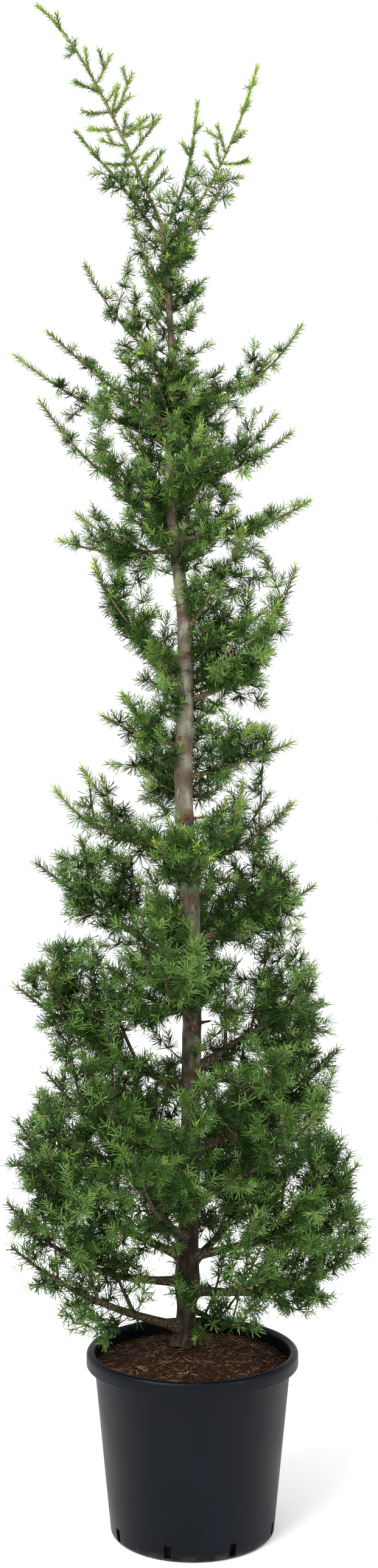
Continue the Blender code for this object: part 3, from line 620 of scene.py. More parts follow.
# The limbs: forty-eight of them, the thick ones low down, which rise and arch as each
# row says. They grow out of the trunk with a swollen collar, and taper to their tips.
# The rows, apart from how leafy each is, and their rule are the solid model's.
Limb = namedtuple("Limb", "name height heading reach climb upturn radius bough spread forks leafiness")
LIMBS = (
    Limb("leader", 2.453, 176, 0.232, 0.412, -0.30, 0.0044, 0.0, 0.145, 0, 1.0),
    Limb("top_middle", 2.440, 50, 0.105, 0.270, 0.50, 0.0034, 0.0, 0.085, 0, 1.0),
    Limb("top_right", 2.420, -6, 0.175, 0.325, 0.45, 0.0036, 0.0, 0.095, 0, 1.0),
    Limb("top_left", 2.425, 200, 0.170, 0.185, -0.10, 0.0034, 0.0, 0.095, 0, 1.0),
    Limb("crest_right", 2.385, -34, 0.145, 0.150, 0.30, 0.0034, 0.0, 0.095, 0, 1.0),
    Limb("crest_front", 2.310, 228, 0.105, 0.150, 0.40, 0.0032, 0.0, 0.085, 0, 0.7),
    Limb("crest_back", 2.300, 88, 0.150, 0.150, 0.40, 0.0036, 0.0, 0.110, 0, 1.0),
    Limb("crest_left", 2.190, 186, 0.165, 0.195, 0.42, 0.0040, 0.0, 0.120, 0, 0.5),
    Limb("upper_right", 2.120, 7, 0.250, 0.162, 0.78, 0.0046, 0.0, 0.140, 0, 0.5),
    Limb("upper_front", 2.100, -108, 0.125, 0.130, 0.60, 0.0036, 0.0, 0.095, 0, 1.0),
    Limb("upper_left_front", 2.085, 203, 0.245, 0.155, 0.20, 0.0044, 0.0, 0.120, 0, 0.5),
    Limb("upper_left", 2.045, 170, 0.300, 0.180, 0.17, 0.0050, 0.0, 0.130, 0, 0.5),
    Limb("upper_back", 2.060, 90, 0.190, 0.110, 0.40, 0.0044, 0.0, 0.130, 0, 1.0),
    Limb("fore_right", 1.970, 4, 0.232, 0.105, 0.50, 0.0052, 0.0, 0.140, 1, 1.0),
    Limb("fore_front", 1.950, -70, 0.165, 0.110, 0.50, 0.0046, 0.0, 0.110, 0, 1.0),
    Limb("fore_left", 1.925, 184, 0.248, 0.205, 0.47, 0.0056, 0.0, 0.140, 0, 0.7),
    Limb("fore_back", 1.900, 100, 0.210, 0.090, 0.40, 0.0052, 0.0, 0.130, 0, 1.0),
    Limb("shoulder_right", 1.870, -11, 0.258, 0.070, 0.70, 0.0056, 0.0, 0.140, 1, 0.8),
    Limb("shoulder_left", 1.850, 172, 0.225, 0.025, 1.50, 0.0054, 0.0, 0.140, 1, 2.0),
    Limb("waist_front", 1.690, -48, 0.165, 0.188, 0.10, 0.0060, 0.0, 0.110, 0, 1.0),
    Limb("waist_hook_left", 1.650, 182, 0.172, 0.183, 1.00, 0.0062, 0.0, 0.110, 1, 0.7),
    Limb("waist_back_right", 1.635, 38, 0.200, 0.110, 0.10, 0.0058, 0.0, 0.120, 0, 1.0),
    Limb("waist_back", 1.590, 112, 0.180, 0.100, 0.30, 0.0056, 0.0, 0.120, 0, 1.0),
    Limb("waist_hook_right", 1.568, -4, 0.208, 0.252, 0.80, 0.0066, 0.0, 0.120, 1, 1.7),
    Limb("waist_left", 1.480, 186, 0.155, 0.060, 0.30, 0.0054, 0.0, 0.120, 1, 0.45),
    Limb("waist_right", 1.420, -2, 0.208, 0.070, 0.20, 0.0064, 0.0, 0.130, 1, 1.1),
    Limb("middle_back", 1.360, 98, 0.210, 0.110, 0.30, 0.0064, 0.0, 0.145, 1, 1.0),
    Limb("middle_left", 1.298, 184, 0.250, 0.105, 1.10, 0.0066, 0.0, 0.155, 1, 0.4),
    Limb("middle_right", 1.250, 3, 0.200, 0.125, 0.40, 0.0062, 0.0, 0.160, 1, 0.4),
    Limb("middle_front", 1.215, -86, 0.180, 0.090, 0.30, 0.0058, 0.0, 0.155, 1, 1.0),
    Limb("broad_right", 1.110, 6, 0.238, 0.105, 0.30, 0.0068, 0.0, 0.165, 2, 1.5),
    Limb("broad_left", 1.050, 177, 0.297, 0.210, 0.05, 0.0080, 0.30, 0.170, 2, 1.4),
    Limb("broad_back", 1.030, 86, 0.255, 0.140, 0.30, 0.0072, 0.0, 0.175, 2, 1.5),
    Limb("broad_front", 0.960, -106, 0.230, 0.135, 0.30, 0.0068, 0.0, 0.170, 2, 1.2),
    Limb("full_right", 0.860, -6, 0.246, 0.135, -0.30, 0.0084, 0.32, 0.170, 2, 1.4),
    Limb("full_left", 0.820, 187, 0.332, 0.210, 0.20, 0.0086, 0.28, 0.170, 2, 1.3),
    Limb("full_back_right", 0.700, 16, 0.290, 0.190, 0.30, 0.0080, 0.0, 0.175, 2, 1.0),
    Limb("full_front_left", 0.660, 207, 0.300, 0.225, 0.30, 0.0074, 0.0, 0.165, 1, 1.0),
    Limb("full_front_right", 0.610, -34, 0.300, 0.215, 0.30, 0.0074, 0.0, 0.165, 1, 1.0),
    Limb("low_front", 0.540, -112, 0.275, 0.210, 0.40, 0.0080, 0.0, 0.175, 2, 1.0),
    Limb("low_back_left", 0.520, 122, 0.310, 0.230, 0.50, 0.0086, 0.0, 0.180, 2, 1.35),
    Limb("low_right", 0.505, -19, 0.332, 0.200, 0.60, 0.0090, 0.28, 0.165, 2, 1.2),
    Limb("low_left", 0.500, 174, 0.334, 0.260, 0.50, 0.0090, 0.28, 0.165, 2, 1.2),
    Limb("low_back", 0.480, 58, 0.320, 0.210, 0.50, 0.0090, 0.28, 0.170, 2, 1.35),
    Limb("skirt_left", 0.455, 194, 0.348, 0.175, 0.80, 0.0090, 0.28, 0.160, 1, 1.9),
    Limb("skirt_right", 0.440, -6, 0.344, 0.108, 1.20, 0.0090, 0.28, 0.160, 1, 2.0),
    Limb("foot_front", 0.405, -56, 0.215, 0.010, 1.00, 0.0056, 0.0, 0.125, 0, 0.6),
    Limb("foot_left", 0.364, 206, 0.355, 0.200, 0.35, 0.0096, 0.34, 0.150, 1, 1.7),
)
TIP_RADIUS = 0.0014
PATH_STEPS = 36
SWAY = 0.030
SWAY_TURNS = 1.2
LIMB_TAPER = 0.8
STEM_RINGS = 4
BOUGH_RINGS = 6
GAP = 0.0003
LIMB_SIDES = 9
LIMB_STEP = 0.008
LOW_LIMB_HEIGHT = 1.06
CREST_HEIGHT = 2.28
SLIM_HEIGHTS = (0.90, 1.20, 2.20, 2.40)
SLIMNESS = (1.0, 0.78, 0.78, 0.66)
COLLAR_SWELL = 0.55
COLLAR_LENGTH = 0.016


def limb_point(limb, share):
    """The limb's centre at a share of its reach, from the middle of the trunk outwards."""
    outwards = towards(math.radians(limb.heading))
    sideways = Vector((-outwards.y, outwards.x, 0.0))
    foot, _ = trunk_at(limb.height)
    rise = limb.climb * ((1 - limb.upturn) * share + limb.upturn * share**3)
    sway = SWAY * limb.reach * share * math.sin(SWAY_TURNS * math.tau * share + limb.heading)
    return foot + outwards * limb.reach * share + sideways * sway + UP * rise


def limb_radius(limb, share):
    """A limb's radius, tapering from its root to its tip."""
    return TIP_RADIUS + (limb.radius - TIP_RADIUS) * (1 - share) ** LIMB_TAPER


def spaced(first, last, count):
    return [first + (last - first) * i / (count - 1) for i in range(count)]


def walk(points):
    """Distances along a line of points, from its first."""
    far = [0.0]
    for here, there in zip(points, points[1:]):
        far.append(far[-1] + (there - here).length)
    return far


def point_along(points, distance):
    """The place and direction at a distance along a line of points."""
    far = walk(points)
    index = 0
    while index < len(points) - 2 and far[index + 1] < distance:
        index += 1
    here, there = points[index], points[index + 1]
    share = (distance - far[index]) / (far[index + 1] - far[index])
    return here.lerp(there, share), (there - here).normalized()


def smooth_line(points, step):
    """A line of closely spaced points on a smooth curve through the given ones."""
    ends = [points[0] * 2 - points[1], *points, points[-1] * 2 - points[-2]]
    made = [points[0]]
    for before, here, there, after in zip(ends, ends[1:], ends[2:], ends[3:]):
        count = max(1, round((there - here).length / step))
        for t in spaced(0, 1, count + 1)[1:]:
            curve = 2 * here + (there - before) * t
            curve += (2 * before - 5 * here + 4 * there - after) * t * t
            curve += (3 * here - before - 3 * there + after) * t**3
            made.append(0.5 * curve)
    return made


Growth = namedtuple("Growth", "points radii")


def scaffold(name, growths):
    """A mesh of bare lines, one for each growth, whose points carry how thick the wood is there."""
    points = [point for growth in growths for point in growth.points]
    edges = []
    start = 0
    for growth in growths:
        edges += [(start + i, start + i + 1) for i in range(len(growth.points) - 1)]
        start += len(growth.points)
    mesh = bpy.data.meshes.new(name)
    mesh.from_pydata(points, edges, [])
    thickness = mesh.attributes.new("thickness", "FLOAT", "POINT")
    thickness.data.foreach_set("value", [radius for growth in growths for radius in growth.radii])
    return placed(name, mesh)


def wood_tree():
    """Gives each line of a scaffold its round wood, with knobs where the bark is uneven."""
    tree, given = new_growth("wood_growth", Sides="Int", Knobs="Float", Fineness="Float", Material="Material")
    curve = add(tree, "GeometryNodeMeshToCurve", {0: given["Geometry"]})
    thick = add(tree, "GeometryNodeInputNamedAttribute", {"Name": "thickness"})
    ring = add(tree, "GeometryNodeCurvePrimitiveCircle", {"Resolution": given["Sides"], "Radius": 1.0})
    round_wood = {"Curve": curve, "Profile Curve": ring, "Scale": thick, "Fill Caps": True}
    wood = add(tree, "GeometryNodeCurveToMesh", round_wood)
    noise = add(tree, "TexNoise", {"Scale": given["Fineness"], "Detail": 3.0})
    uneven = add(tree, "Math", {0: noise, 1: 0.5}, operation="SUBTRACT")
    amount = add(tree, "Math", {0: uneven, 1: given["Knobs"]}, operation="MULTIPLY")
    outwards = add(tree, "GeometryNodeInputNormal")
    push = add(tree, "VectorMath", {0: outwards, "Scale": amount}, operation="SCALE")
    bumpy = add(tree, "GeometryNodeSetPosition", {"Geometry": wood, "Offset": push})
    smooth = add(tree, "GeometryNodeSetShadeSmooth", {"Geometry": bumpy})
    finished(tree, smooth, given["Material"])
    return tree


WOOD_TREE = wood_tree()


def limb_bark(name, *browns):
    """Bark of a limb or shoot: thin, matt, and cracked into scales 4 mm across."""
    return speckled(name, 0.82, 0.15, (260, 5), (0.5, 0.0008), *zip((0.36, 0.50, 0.64), browns))


def by_station(value, places, amounts):
    """An amount read off between stations, as a plain number."""
    return float(np.interp(value, places, amounts))


def limb_growth(limb):
    """A whole limb as closely spaced points, with the collar where it leaves the trunk."""
    length = walk([limb_point(limb, share) for share in spaced(0, 1, 12)])[-1]
    shares = spaced(0, 1, round(length / LIMB_STEP))
    slim = by_station(limb.height, SLIM_HEIGHTS, SLIMNESS)
    radii = []
    for share in shares:
        out = max(share * length - trunk_at(limb.height)[1], 0.0)
        radii.append(limb_radius(limb, share) * (1 + COLLAR_SWELL * math.exp(-out / COLLAR_LENGTH)) * slim)
    return Growth([limb_point(limb, share) for share in shares], radii)


def zone(limb):
    """Whether a limb grows from the low, the high or the crest part of the trunk."""
    return "low" if limb.height < LOW_LIMB_HEIGHT else "crest" if limb.height > CREST_HEIGHT else "high"


def make_wood(name, growths, sides, knobs, fineness, finish, slot, *nodes):
    """One piece of wood on the lines of its growths; knobs are in metres, and fineness is a noise scale."""
    values = {"Sides": sides, "Knobs": knobs, "Fineness": fineness, "Material": finish}
    dress(grown(scaffold(name, growths), WOOD_TREE, values), finish, slot, *nodes)


# The low limbs and their forks have darker bark than those above them.
DARK_BARK = limb_bark("damp_limb_bark", "#241D15", "#41382B", "#685D4C")
GREY_BARK = limb_bark("limb_bark", "#382C1E", "#5C4D38", "#7F7158")
OLIVE_BARK = limb_bark("leader_bark", "#4E4630", "#6E6345", "#8C805C")
LIMB_GROWTHS = [limb_growth(limb) for limb in LIMBS]
BOUGH_NODES = [f"bough_{limb.name}" for limb in LIMBS if limb.bough]
for name, part, knobs, fineness, bark, slot, nodes in (
    ("low_limbs", "low", 0.0016, 85.0, DARK_BARK, "cedar_bark_low", BOUGH_NODES),
    ("upper_limbs", "high", 0.0012, 110.0, GREY_BARK, "cedar_bark", ()),
    ("crest_limbs", "crest", 0.0006, 160.0, OLIVE_BARK, "cedar_bark", ()),
):
    growths = [growth for limb, growth in zip(LIMBS, LIMB_GROWTHS) if zone(limb) == part]
    make_wood(name, growths, LIMB_SIDES, knobs, fineness, bark, slot, *nodes)


# The stubs: dead twigs snapped off short, and the scars where others were pruned flush,
# which stand on the trunk as low reddish knots. All are part of its bark.
Stub = namedtuple("Stub", "height heading length radius")
STUBS = (
    Stub(1.343, -24, 0.034, 0.0019),
    Stub(1.338, -112, 0.004, 0.0068),
    Stub(1.347, -78, 0.004, 0.0060),
    Stub(1.247, -96, 0.003, 0.0062),
    Stub(1.243, -52, 0.003, 0.0045),
    Stub(1.495, -118, 0.003, 0.0050),
    Stub(1.200, -20, 0.018, 0.0022),
    Stub(1.655, -70, 0.003, 0.0048),
    Stub(1.745, -125, 0.003, 0.0040),
    Stub(1.790, -55, 0.003, 0.0036),
    Stub(0.945, -86, 0.004, 0.0072),
    Stub(0.952, 20, 0.022, 0.0024),
    Stub(0.640, -60, 0.005, 0.0070),
    Stub(1.420, 96, 0.026, 0.0020),
    Stub(1.100, 120, 0.004, 0.0060),
)
STUB_SINK = 0.004
STUB_RISE = 0.12


def stub_growth(stub):
    """A stub from inside the trunk's bark outwards: swollen at its foot and rounded at its end."""
    centre, radius = trunk_at(stub.height)
    out = towards(math.radians(stub.heading), STUB_RISE).normalized()
    start = centre + out * (radius - STUB_SINK)
    reach = stub.length + STUB_SINK
    points = [start + out * reach * share for share in (0.0, 0.3, 0.6, 0.85, 1.0)]
    flare = 1.0 + 0.8 * (stub.length > STUB_SINK)
    return Growth(points, [stub.radius * share for share in (flare, 0.5 + 0.5 * flare, 1.0, 0.85, 0.35)])


RUST_BARK = limb_bark("scar_bark", "#3A2416", "#5E3C26", "#7E5A3E")
make_wood("stubs", [stub_growth(stub) for stub in STUBS], 10, 0.0012, 240.0, RUST_BARK, "cedar_bark")


# The shoots: every limb's foliage grows by the solid model's rule, from the same seed,
# so each of its sprays becomes a twig with side twigs where the blade had teeth. Finer
# twigs fill the limb's own space. Young wood is orange-tan, and older wood is grey.
CENTRES = np.array([limb_point(limb, t) for limb in LIMBS for t in spaced(0, 1, PATH_STEPS)])
OWNERS = np.repeat(np.arange(len(LIMBS)), PATH_STEPS)
BOUGH_SHARES = np.array([share for _ in LIMBS for share in spaced(0, 1, PATH_STEPS)])
# How the solid model's sprays and forks grow. Angles, rolls and faces are in degrees.
SEED = 23
FIRST_SPRAY = 0.044
SPRAY_STEP = 0.047
SPRAY_STEP_RANGE = (0.9, 1.1)
SPRAY_ANGLE = 47
SPRAY_ANGLE_RANGE = (-7, 7)
SPRAY_ROLL_RANGE = (-35, 60)
SPRAY_FACE_RANGE = (-60, 60)
SPRAY_LENGTH_RANGE = (0.85, 1.1)
SPRAY_SHRINK = 0.85
SPRAY_HALF_WIDTH = 0.034
SPRAY_SLIMNESS = 0.26
SHORTEST_SPRAY = 0.045
TIP_SPRAY_LENGTH = 0.115
TIP_SPRAY_HALF_WIDTH = 0.026
TIP_SPRAY_OVERLAP = 0.94
TIP_FACE_RANGE = (-50, 50)
TIP_TAPER = 0.85
STEM_TAPER = 0.25
TOOTH_STEP = 0.039
MOST_TEETH = 3
TOOTH_NARROWING = 0.13
TOOTH_LEAN = 0.95
TIP_STEPS = 1.3
RIB_CHECK = 0.6
TOOTH_CHECK = (0.8, 0.5)
FIRST_FORK_SHARE = 0.22
FORK_SHARE_STEP = 0.24
FORK_ANGLE = 36
FORK_ANGLE_RANGE = (-5, 5)
FORK_ROLL_RANGE = (-5, 40)
FORK_LENGTH_RANGE = (0.80, 0.92)
FORK_RISE = 0.32
FORK_WIDTH_SHARE = 0.55
FORK_SPREAD_SHARE = 0.75
SHORTEST_FORK = 0.080
SPACE_MARGIN = 0.003
SPRAY_CLEARANCE = 0.014
WOOD_CLEARANCE = 0.005
Spray = namedtuple("Spray", "root along face length half_width")


def in_own_space(number, points, slack=0.0):
    """Whether points keep nearer to this limb than to any other, and off wood, soil and pot.
    Slack is how far fine twigs may reach in among those of the next limb."""
    limb = LIMBS[number]
    places = np.array(points)
    apart = np.linalg.norm(places[:, None, :] - CENTRES[None, :, :], axis=2)
    own = apart[:, OWNERS == number].min(axis=1)
    other = apart[:, OWNERS != number].min(axis=1)
    if (own + SPACE_MARGIN > other + slack).any():
        return False
    if places[:, 2].min() < POT_HEIGHT + WOOD_CLEARANCE:
        return False
    bare = (OWNERS == number) & (BOUGH_SHARES < limb.bough)
    if bare.any() and apart[:, bare].min() < limb.radius + WOOD_CLEARANCE:
        return False
    for place in points:
        if place.z < TRUNK_TOP:
            centre, radius = trunk_at(place.z)
            if (place - centre).length < radius + WOOD_CLEARANCE:
                return False
    return True


def spray_teeth(spray):
    """The teeth on each side of a spray: pairs of (distance along its rib, distance from it)."""
    count = min(MOST_TEETH, max(2, round(spray.length / TOOTH_STEP) - 1))
    step = spray.length / (count + TIP_STEPS)
    widths = [spray.half_width * (1.0 - TOOTH_NARROWING * i) for i in range(count)]
    return [(step * (0.5 + i) + TOOTH_LEAN * step, width) for i, width in enumerate(widths)]


def spray_reach(spray):
    """The points of a spray that stand furthest out, and some between them and its rib."""
    across = spray.along.cross(spray.face)
    points = [spray.root + spray.along * spray.length * share for share in (1.0, RIB_CHECK)]
    for along, width in spray_teeth(spray):
        for side in (-1, 1):
            for far, wide in ((1.0, 1.0), TOOTH_CHECK):
                points.append(spray.root + spray.along * along * far + across * width * side * wide)
    return points


def side_direction(along, side, roll):
    """A direction square to a stem: level to one side of it, tilted by roll degrees."""
    level = along.cross(UP).normalized() * side
    upright = level.cross(along).normalized() * side
    tilt = math.radians(roll)
    return level * math.cos(tilt) + upright * math.sin(tilt)


def slanted(along, side, slant, roll):
    """A direction that leaves a stem at a slant, to one side of it, tilted by roll degrees."""
    slant = math.radians(slant)
    return along * math.cos(slant) + side_direction(along, side, roll) * math.sin(slant)


def grow_fork(number, stem, order, draw):
    """A side limb of a mass: leaves the stem at a slant and turns up, while it has space."""
    length = walk(stem)[-1]
    start = length * (FIRST_FORK_SHARE + FORK_SHARE_STEP * order)
    root, along = point_along(stem, start)
    side = 1 if (order + number) % 2 else -1
    slant = FORK_ANGLE + draw.uniform(*FORK_ANGLE_RANGE)
    heading = slanted(along, side, slant, draw.uniform(*FORK_ROLL_RANGE))
    reach = (length - start) * draw.uniform(*FORK_LENGTH_RANGE)
    points = [root]
    for share in spaced(0.25, 1.0, 4):
        point = root + heading * reach * share + UP * (FORK_RISE * reach * share**2)
        if not in_own_space(number, [point]):
            break
        points.append(point)
    if len(points) < 3 or walk(points)[-1] < SHORTEST_FORK:
        return None
    return points


def clear_of(spray, others):
    """Whether a spray's teeth and tip keep off those of the sprays before it."""
    return all(
        (point - other_point).length > SPRAY_CLEARANCE
        for other in others
        for other_point in spray_reach(other)
        for point in spray_reach(spray)
    )


def grow_sprays(number, axis, first, spread, draw, sprays):
    """Sprays on alternate sides of a stem or fork, shorter towards its end, and one at its tip."""
    length = walk(axis)[-1]
    place = first
    side = 1 if number % 2 else -1
    while place < length - SPRAY_STEP / 3:
        root, along = point_along(axis, place)
        slant = SPRAY_ANGLE + draw.uniform(*SPRAY_ANGLE_RANGE)
        heading = slanted(along, side, slant, draw.uniform(*SPRAY_ROLL_RANGE)).normalized()
        across = side_direction(heading, side, draw.uniform(*SPRAY_FACE_RANGE))
        face = heading.cross(across).normalized()
        reach = spread * (1.0 - STEM_TAPER * place / length) * draw.uniform(*SPRAY_LENGTH_RANGE)
        reach = min(reach, TIP_TAPER * (length - place) + SHORTEST_SPRAY)
        while reach >= SHORTEST_SPRAY:
            width = min(SPRAY_HALF_WIDTH, SPRAY_SLIMNESS * reach)
            spray = Spray(root, heading, face, reach, width)
            if in_own_space(number, spray_reach(spray)) and clear_of(spray, sprays):
                sprays.append(spray)
                break
            reach *= SPRAY_SHRINK
        place += SPRAY_STEP * draw.uniform(*SPRAY_STEP_RANGE)
        side = -side
    end, along = point_along(axis, length)
    across = side_direction(along, side, draw.uniform(*TIP_FACE_RANGE))
    face = along.cross(across).normalized()
    root = end - along * TIP_SPRAY_OVERLAP * TIP_SPRAY_LENGTH
    spray = Spray(root, along, face, TIP_SPRAY_LENGTH, TIP_SPRAY_HALF_WIDTH)
    if in_own_space(number, spray_reach(spray)) and clear_of(spray, sprays):
        sprays.append(spray)


def grow_mass(number):
    """The forks and sprays of one limb's foliage, as its solid has them."""
    limb = LIMBS[number]
    draw = random.Random(SEED * 1000 + number)
    shares = spaced(limb.bough, 1.0, STEM_RINGS + 1)
    stem = [limb_point(limb, share) for share in shares]
    radii = [limb_radius(limb, share) for share in shares]
    if limb.bough:
        line = [limb_point(limb, share) for share in spaced(0.0, limb.bough, BOUGH_RINGS)]
        onwards = (line[-1] - line[-2]).normalized()
        stem[0] = line[-1] + onwards * GAP
        stem.insert(1, line[-1] + onwards * 4 * radii[0])
        radii.insert(1, radii[0])
    forks = []
    sprays = []
    grow_sprays(number, stem, FIRST_SPRAY, limb.spread, draw, sprays)
    for order in range(limb.forks):
        fork = grow_fork(number, stem, order, draw)
        if fork:
            forks.append(Growth(fork, spaced(FORK_WIDTH_SHARE * radii[2], TIP_RADIUS, len(fork))))
            grow_sprays(number, fork, SPRAY_STEP, FORK_SPREAD_SHARE * limb.spread, draw, sprays)
    return forks, sprays


# A shoot is a line of wood with needles on it. Its old share carries rosettes on spurs.
# What follows is how twigs grow. Amounts in a row are read along the heights, or along the
# shares of OUT_SHARES, that stand before them; hanging and riser heights are limits alone.
Shoot = namedtuple("Shoot", "line radius old limb kind")
TWIG_SHARE = 0.88
TWIG_RISE = 0.14
TWIG_STEP = 0.017
TWIG_RADIUS = 0.0013
SIDE_TWIG_SHARE = 0.84
SIDE_TWIG_RADIUS = 0.0008
SIDE_TWIG_SLANT = 0.95
SIDE_TWIG_STEP = 0.030
SIDE_TWIG_LENGTH = (0.020, 0.040)
SIDE_TWIG_START = 0.006
SIDE_TWIG_END = 0.94
SIDE_TWIG_ROLL = (-50, 60)
SIDE_TWIG_TAPER = 0.7
SIDE_TWIG_TIP = 0.012
SIDE_TWIG_PLAY = (0.8, 1.2)
SIDE_OLD_SHARE = 0.6
TOOTH_BARE = 0.40
CREST_TOOTH_BARE = 0.7
TOOTH_LIFT = (-0.5, 0.7)
TWIG_KINK = (-0.05, 0.05)
SHOOT_TAPER = 0.55
STEM_RADIUS = 0.002
STEM_CLEARANCE = 0.012
STEM_OLD_SHARE = 0.72
FORK_OLD_SHARE = 0.7
CREST_STEM_OLD_SHARE = 0.3
CREST_TWIG_OLD_SHARE = 0.1
FILL_HEIGHTS = (0.90, 1.00, 1.30, 1.45, 1.70, 1.85, 2.30)
FILL_STEPS = (0.0295, 0.0325, 0.0410, 0.0240, 0.0210, 0.0280, 0.0190)
HANGING_HEIGHTS = ((0.80, 1.40), (1.55, 1.58), (1.84, 1.88))
CREST_FILL_SHARE = 0.58
CREST_FILL_ANGLE = (54, 80)
CREST_FILL_ROLL = (30, 150)
FILL_SLACK = 0.030
NEEDLE_ROOM = 0.014
CROWN_HEIGHTS = (
    0.36, 0.44, 0.50, 0.56, 0.67, 0.73, 0.78, 0.84, 0.90, 0.96, 1.01, 1.07, 1.13, 1.19, 1.24, 1.30, 1.42,
    1.47, 1.53, 1.59, 1.65, 1.70, 1.76, 1.82, 1.88, 1.93, 1.99, 2.05, 2.11, 2.16, 2.22, 2.28, 2.34, 2.90,
)
CROWN_LEFT = (
    -0.25, -0.27, -0.32, -0.36, -0.36, -0.35, -0.33, -0.28, -0.29, -0.31, -0.34, -0.32, -0.30, -0.25,
    -0.31, -0.26, -0.26, -0.17, -0.18, -0.14, -0.15, -0.17, -0.19, -0.22, -0.25, -0.21, -0.24, -0.26,
    -0.28, -0.30, -0.34, -0.21, -0.20, -0.36,
)
CROWN_RIGHT = (
    0.24, 0.28, 0.34, 0.35, 0.32, 0.29, 0.28, 0.28, 0.28, 0.28, 0.25, 0.25, 0.25, 0.23, 0.22, 0.19, 0.20,
    0.20, 0.19, 0.17, 0.17, 0.19, 0.20, 0.21, 0.20, 0.22, 0.20, 0.19, 0.14, 0.16, 0.21, 0.21, 0.12, 0.34,
)
UPWARD_CHANCE = 0.4
LOW_TIP_REACH = 0.065
LEADING_HEIGHTS = (1.10, 1.40, 1.60, 1.85)
LEADING_SHARES = (0.90, 0.75, 0.75, 0.55)
OUT_SHARES = (0.35, 0.60, 0.80, 1.00)
LOW_SHRINKS = (1.00, 1.00, 0.95, 0.85)
HIGH_SHRINKS = (0.92, 0.58, 0.40, 0.32)
CREST_SHRINKS = (0.46, 0.38, 0.32, 0.26)
HIGH_OLD_SHARES = (0.80, 0.68, 0.40, 0.25)
LOW_OLD_SHARES = (0.92, 0.88, 0.80, 0.62)
RISERS = ((0.28, 0.48, 0.70), (0.35, 0.62))
RISER_HEIGHTS = (0.90, 1.40)
RISER_LENGTH = (0.14, 0.25)
RISER_SHARE = 0.62
RISER_ANGLE = (38, 58)
RISER_ROLL = (35, 85)
RISER_RISE = 0.38
RISER_SLACK = 0.09
RISER_SPREAD = 0.090
RISER_LEAFY = 0.40
RISER_OLD_SHARE = 0.8
RISER_SLIMNESS = 0.60
SHORTEST_RISER = 0.07
CREST_LEAFY_SHARE = 0.62
DROOPING = ("fore_right", "shoulder_left", "waist_hook_right", "middle_left", "broad_left", "broad_back")
DROOPING += ("skirt_left", "skirt_right", "foot_left")
DROOP_CHANCE = 0.5
DROOPING_ROLL = (200, 340)
RISING = ("waist_right", "waist_left")
RISING_ROLL = (20, 160)
UPWARD_ROLL = (15, 165)
BARE_STRETCHES = ((0.93, 0.97), (1.17, 1.21), (1.34, 1.38), (1.47, 1.50), (1.71, 1.74))
BARE_WIDTH = 0.030
RAGGED_HEIGHTS = (0.75, 1.00, 1.25)
RAGGEDNESS = (0.06, 0.16, 0.20)
TRUNK_TWIG_HEIGHTS = (0.60, 0.80, 1.10, 1.30, 1.75, 1.90, 2.20)
TRUNK_TWIG_COUNTS = (1, 8, 6, 5, 8, 8, 8)
TRUNK_TWIG_DROP = (-0.055, 0.050)
TRUNK_TWIG_RISE = (5, 40)
TRUNK_TWIG_LENGTH = (0.045, 0.095)
TRUNK_TWIG_GROWTH = ((1.0, 2.1), (1.0, 1.25))
TRUNK_TWIG_ROOT = 0.8
TRUNK_TWIG_SUNK = 0.2
TRUNK_TWIG_OLD_SHARE = 0.6
TRUNK_TWIG_SIDES_OLD_SHARE = 0.4
LEADER_CLEARANCE = 0.02
FILL_SHARE = (0.45, 0.95)
FILL_ANGLE = (40, 74)
FILL_SHRINK = 0.82
FILL_START = 0.012
SHORTEST_FILL = 0.026
FILL_THINNESS = 0.8
FILL_OLD_SHARE = 0.9
FILL_STEP_PLAY = (0.7, 1.3)
FILL_STEP_INNER = 0.60
FILL_STEP_GROWTH = 0.85
INNER_CHECK = 0.6
THIN_HEIGHT = 1.15
BARE_HEIGHT = 0.90
TWIGGY_HEIGHT = 0.45
TWIGGY_TOP = 2.43
BARE_SHARE = 0.7
FRONT_BARE = 0.26
MIDDLE_BARE = 0.17
MIDDLE_BARE_TOP = 1.95


def twig_line(root, along, length, rise, draw, fewest=3):
    """A twig's line: straight at first, then turning up, with a slight kink of its own."""
    kink = Vector([draw.uniform(*TWIG_KINK) for _ in range(3)]) * length
    count = max(fewest, round(length / TWIG_STEP))
    points = []
    for share in spaced(0, 1, count + 1):
        lift = UP * (rise * length * share * share)
        points.append(root + along * length * share + lift + kink * share * (1 - share) * 2)
    return points


def shrunk(spray, length_share, width_share):
    """The spray at a share of its length and of its width."""
    length = spray.length * length_share
    return spray._replace(length=length, half_width=spray.half_width * width_share)


def spray_shoots(number, spray, old, draw):
    """One spray as a twig, with side twigs that reach out to its teeth."""
    while not inside_reach(spray.root + spray.along * spray.length * TWIG_SHARE):
        spray = shrunk(spray, FILL_SHRINK, FILL_SHRINK)
        if spray.length < SHORTEST_FILL:
            return []
    rib = twig_line(spray.root, spray.along, spray.length * TWIG_SHARE, TWIG_RISE, draw)
    shoots = [Shoot(rib, TWIG_RADIUS, old, number, "twig")]
    across = spray.along.cross(spray.face)
    bare = CREST_TOOTH_BARE if zone(LIMBS[number]) == "crest" else TOOTH_BARE
    for along, width in spray_teeth(spray):
        for side in (-1, 1):
            start = max(along - SIDE_TWIG_SLANT * width, SIDE_TWIG_START)
            if start > SIDE_TWIG_END * spray.length * TWIG_SHARE or draw.random() < bare:
                continue
            root, _ = point_along(rib, start)
            tip = spray.root + spray.along * along + across * side * width * SIDE_TWIG_SHARE
            tip += spray.face * width * draw.uniform(*TOOTH_LIFT)
            reach = tip - root
            line = twig_line(root, reach.normalized(), reach.length, TWIG_RISE, draw, 2)
            shoots.append(Shoot(line, SIDE_TWIG_RADIUS, SIDE_OLD_SHARE * old, number, "side"))
    return shoots


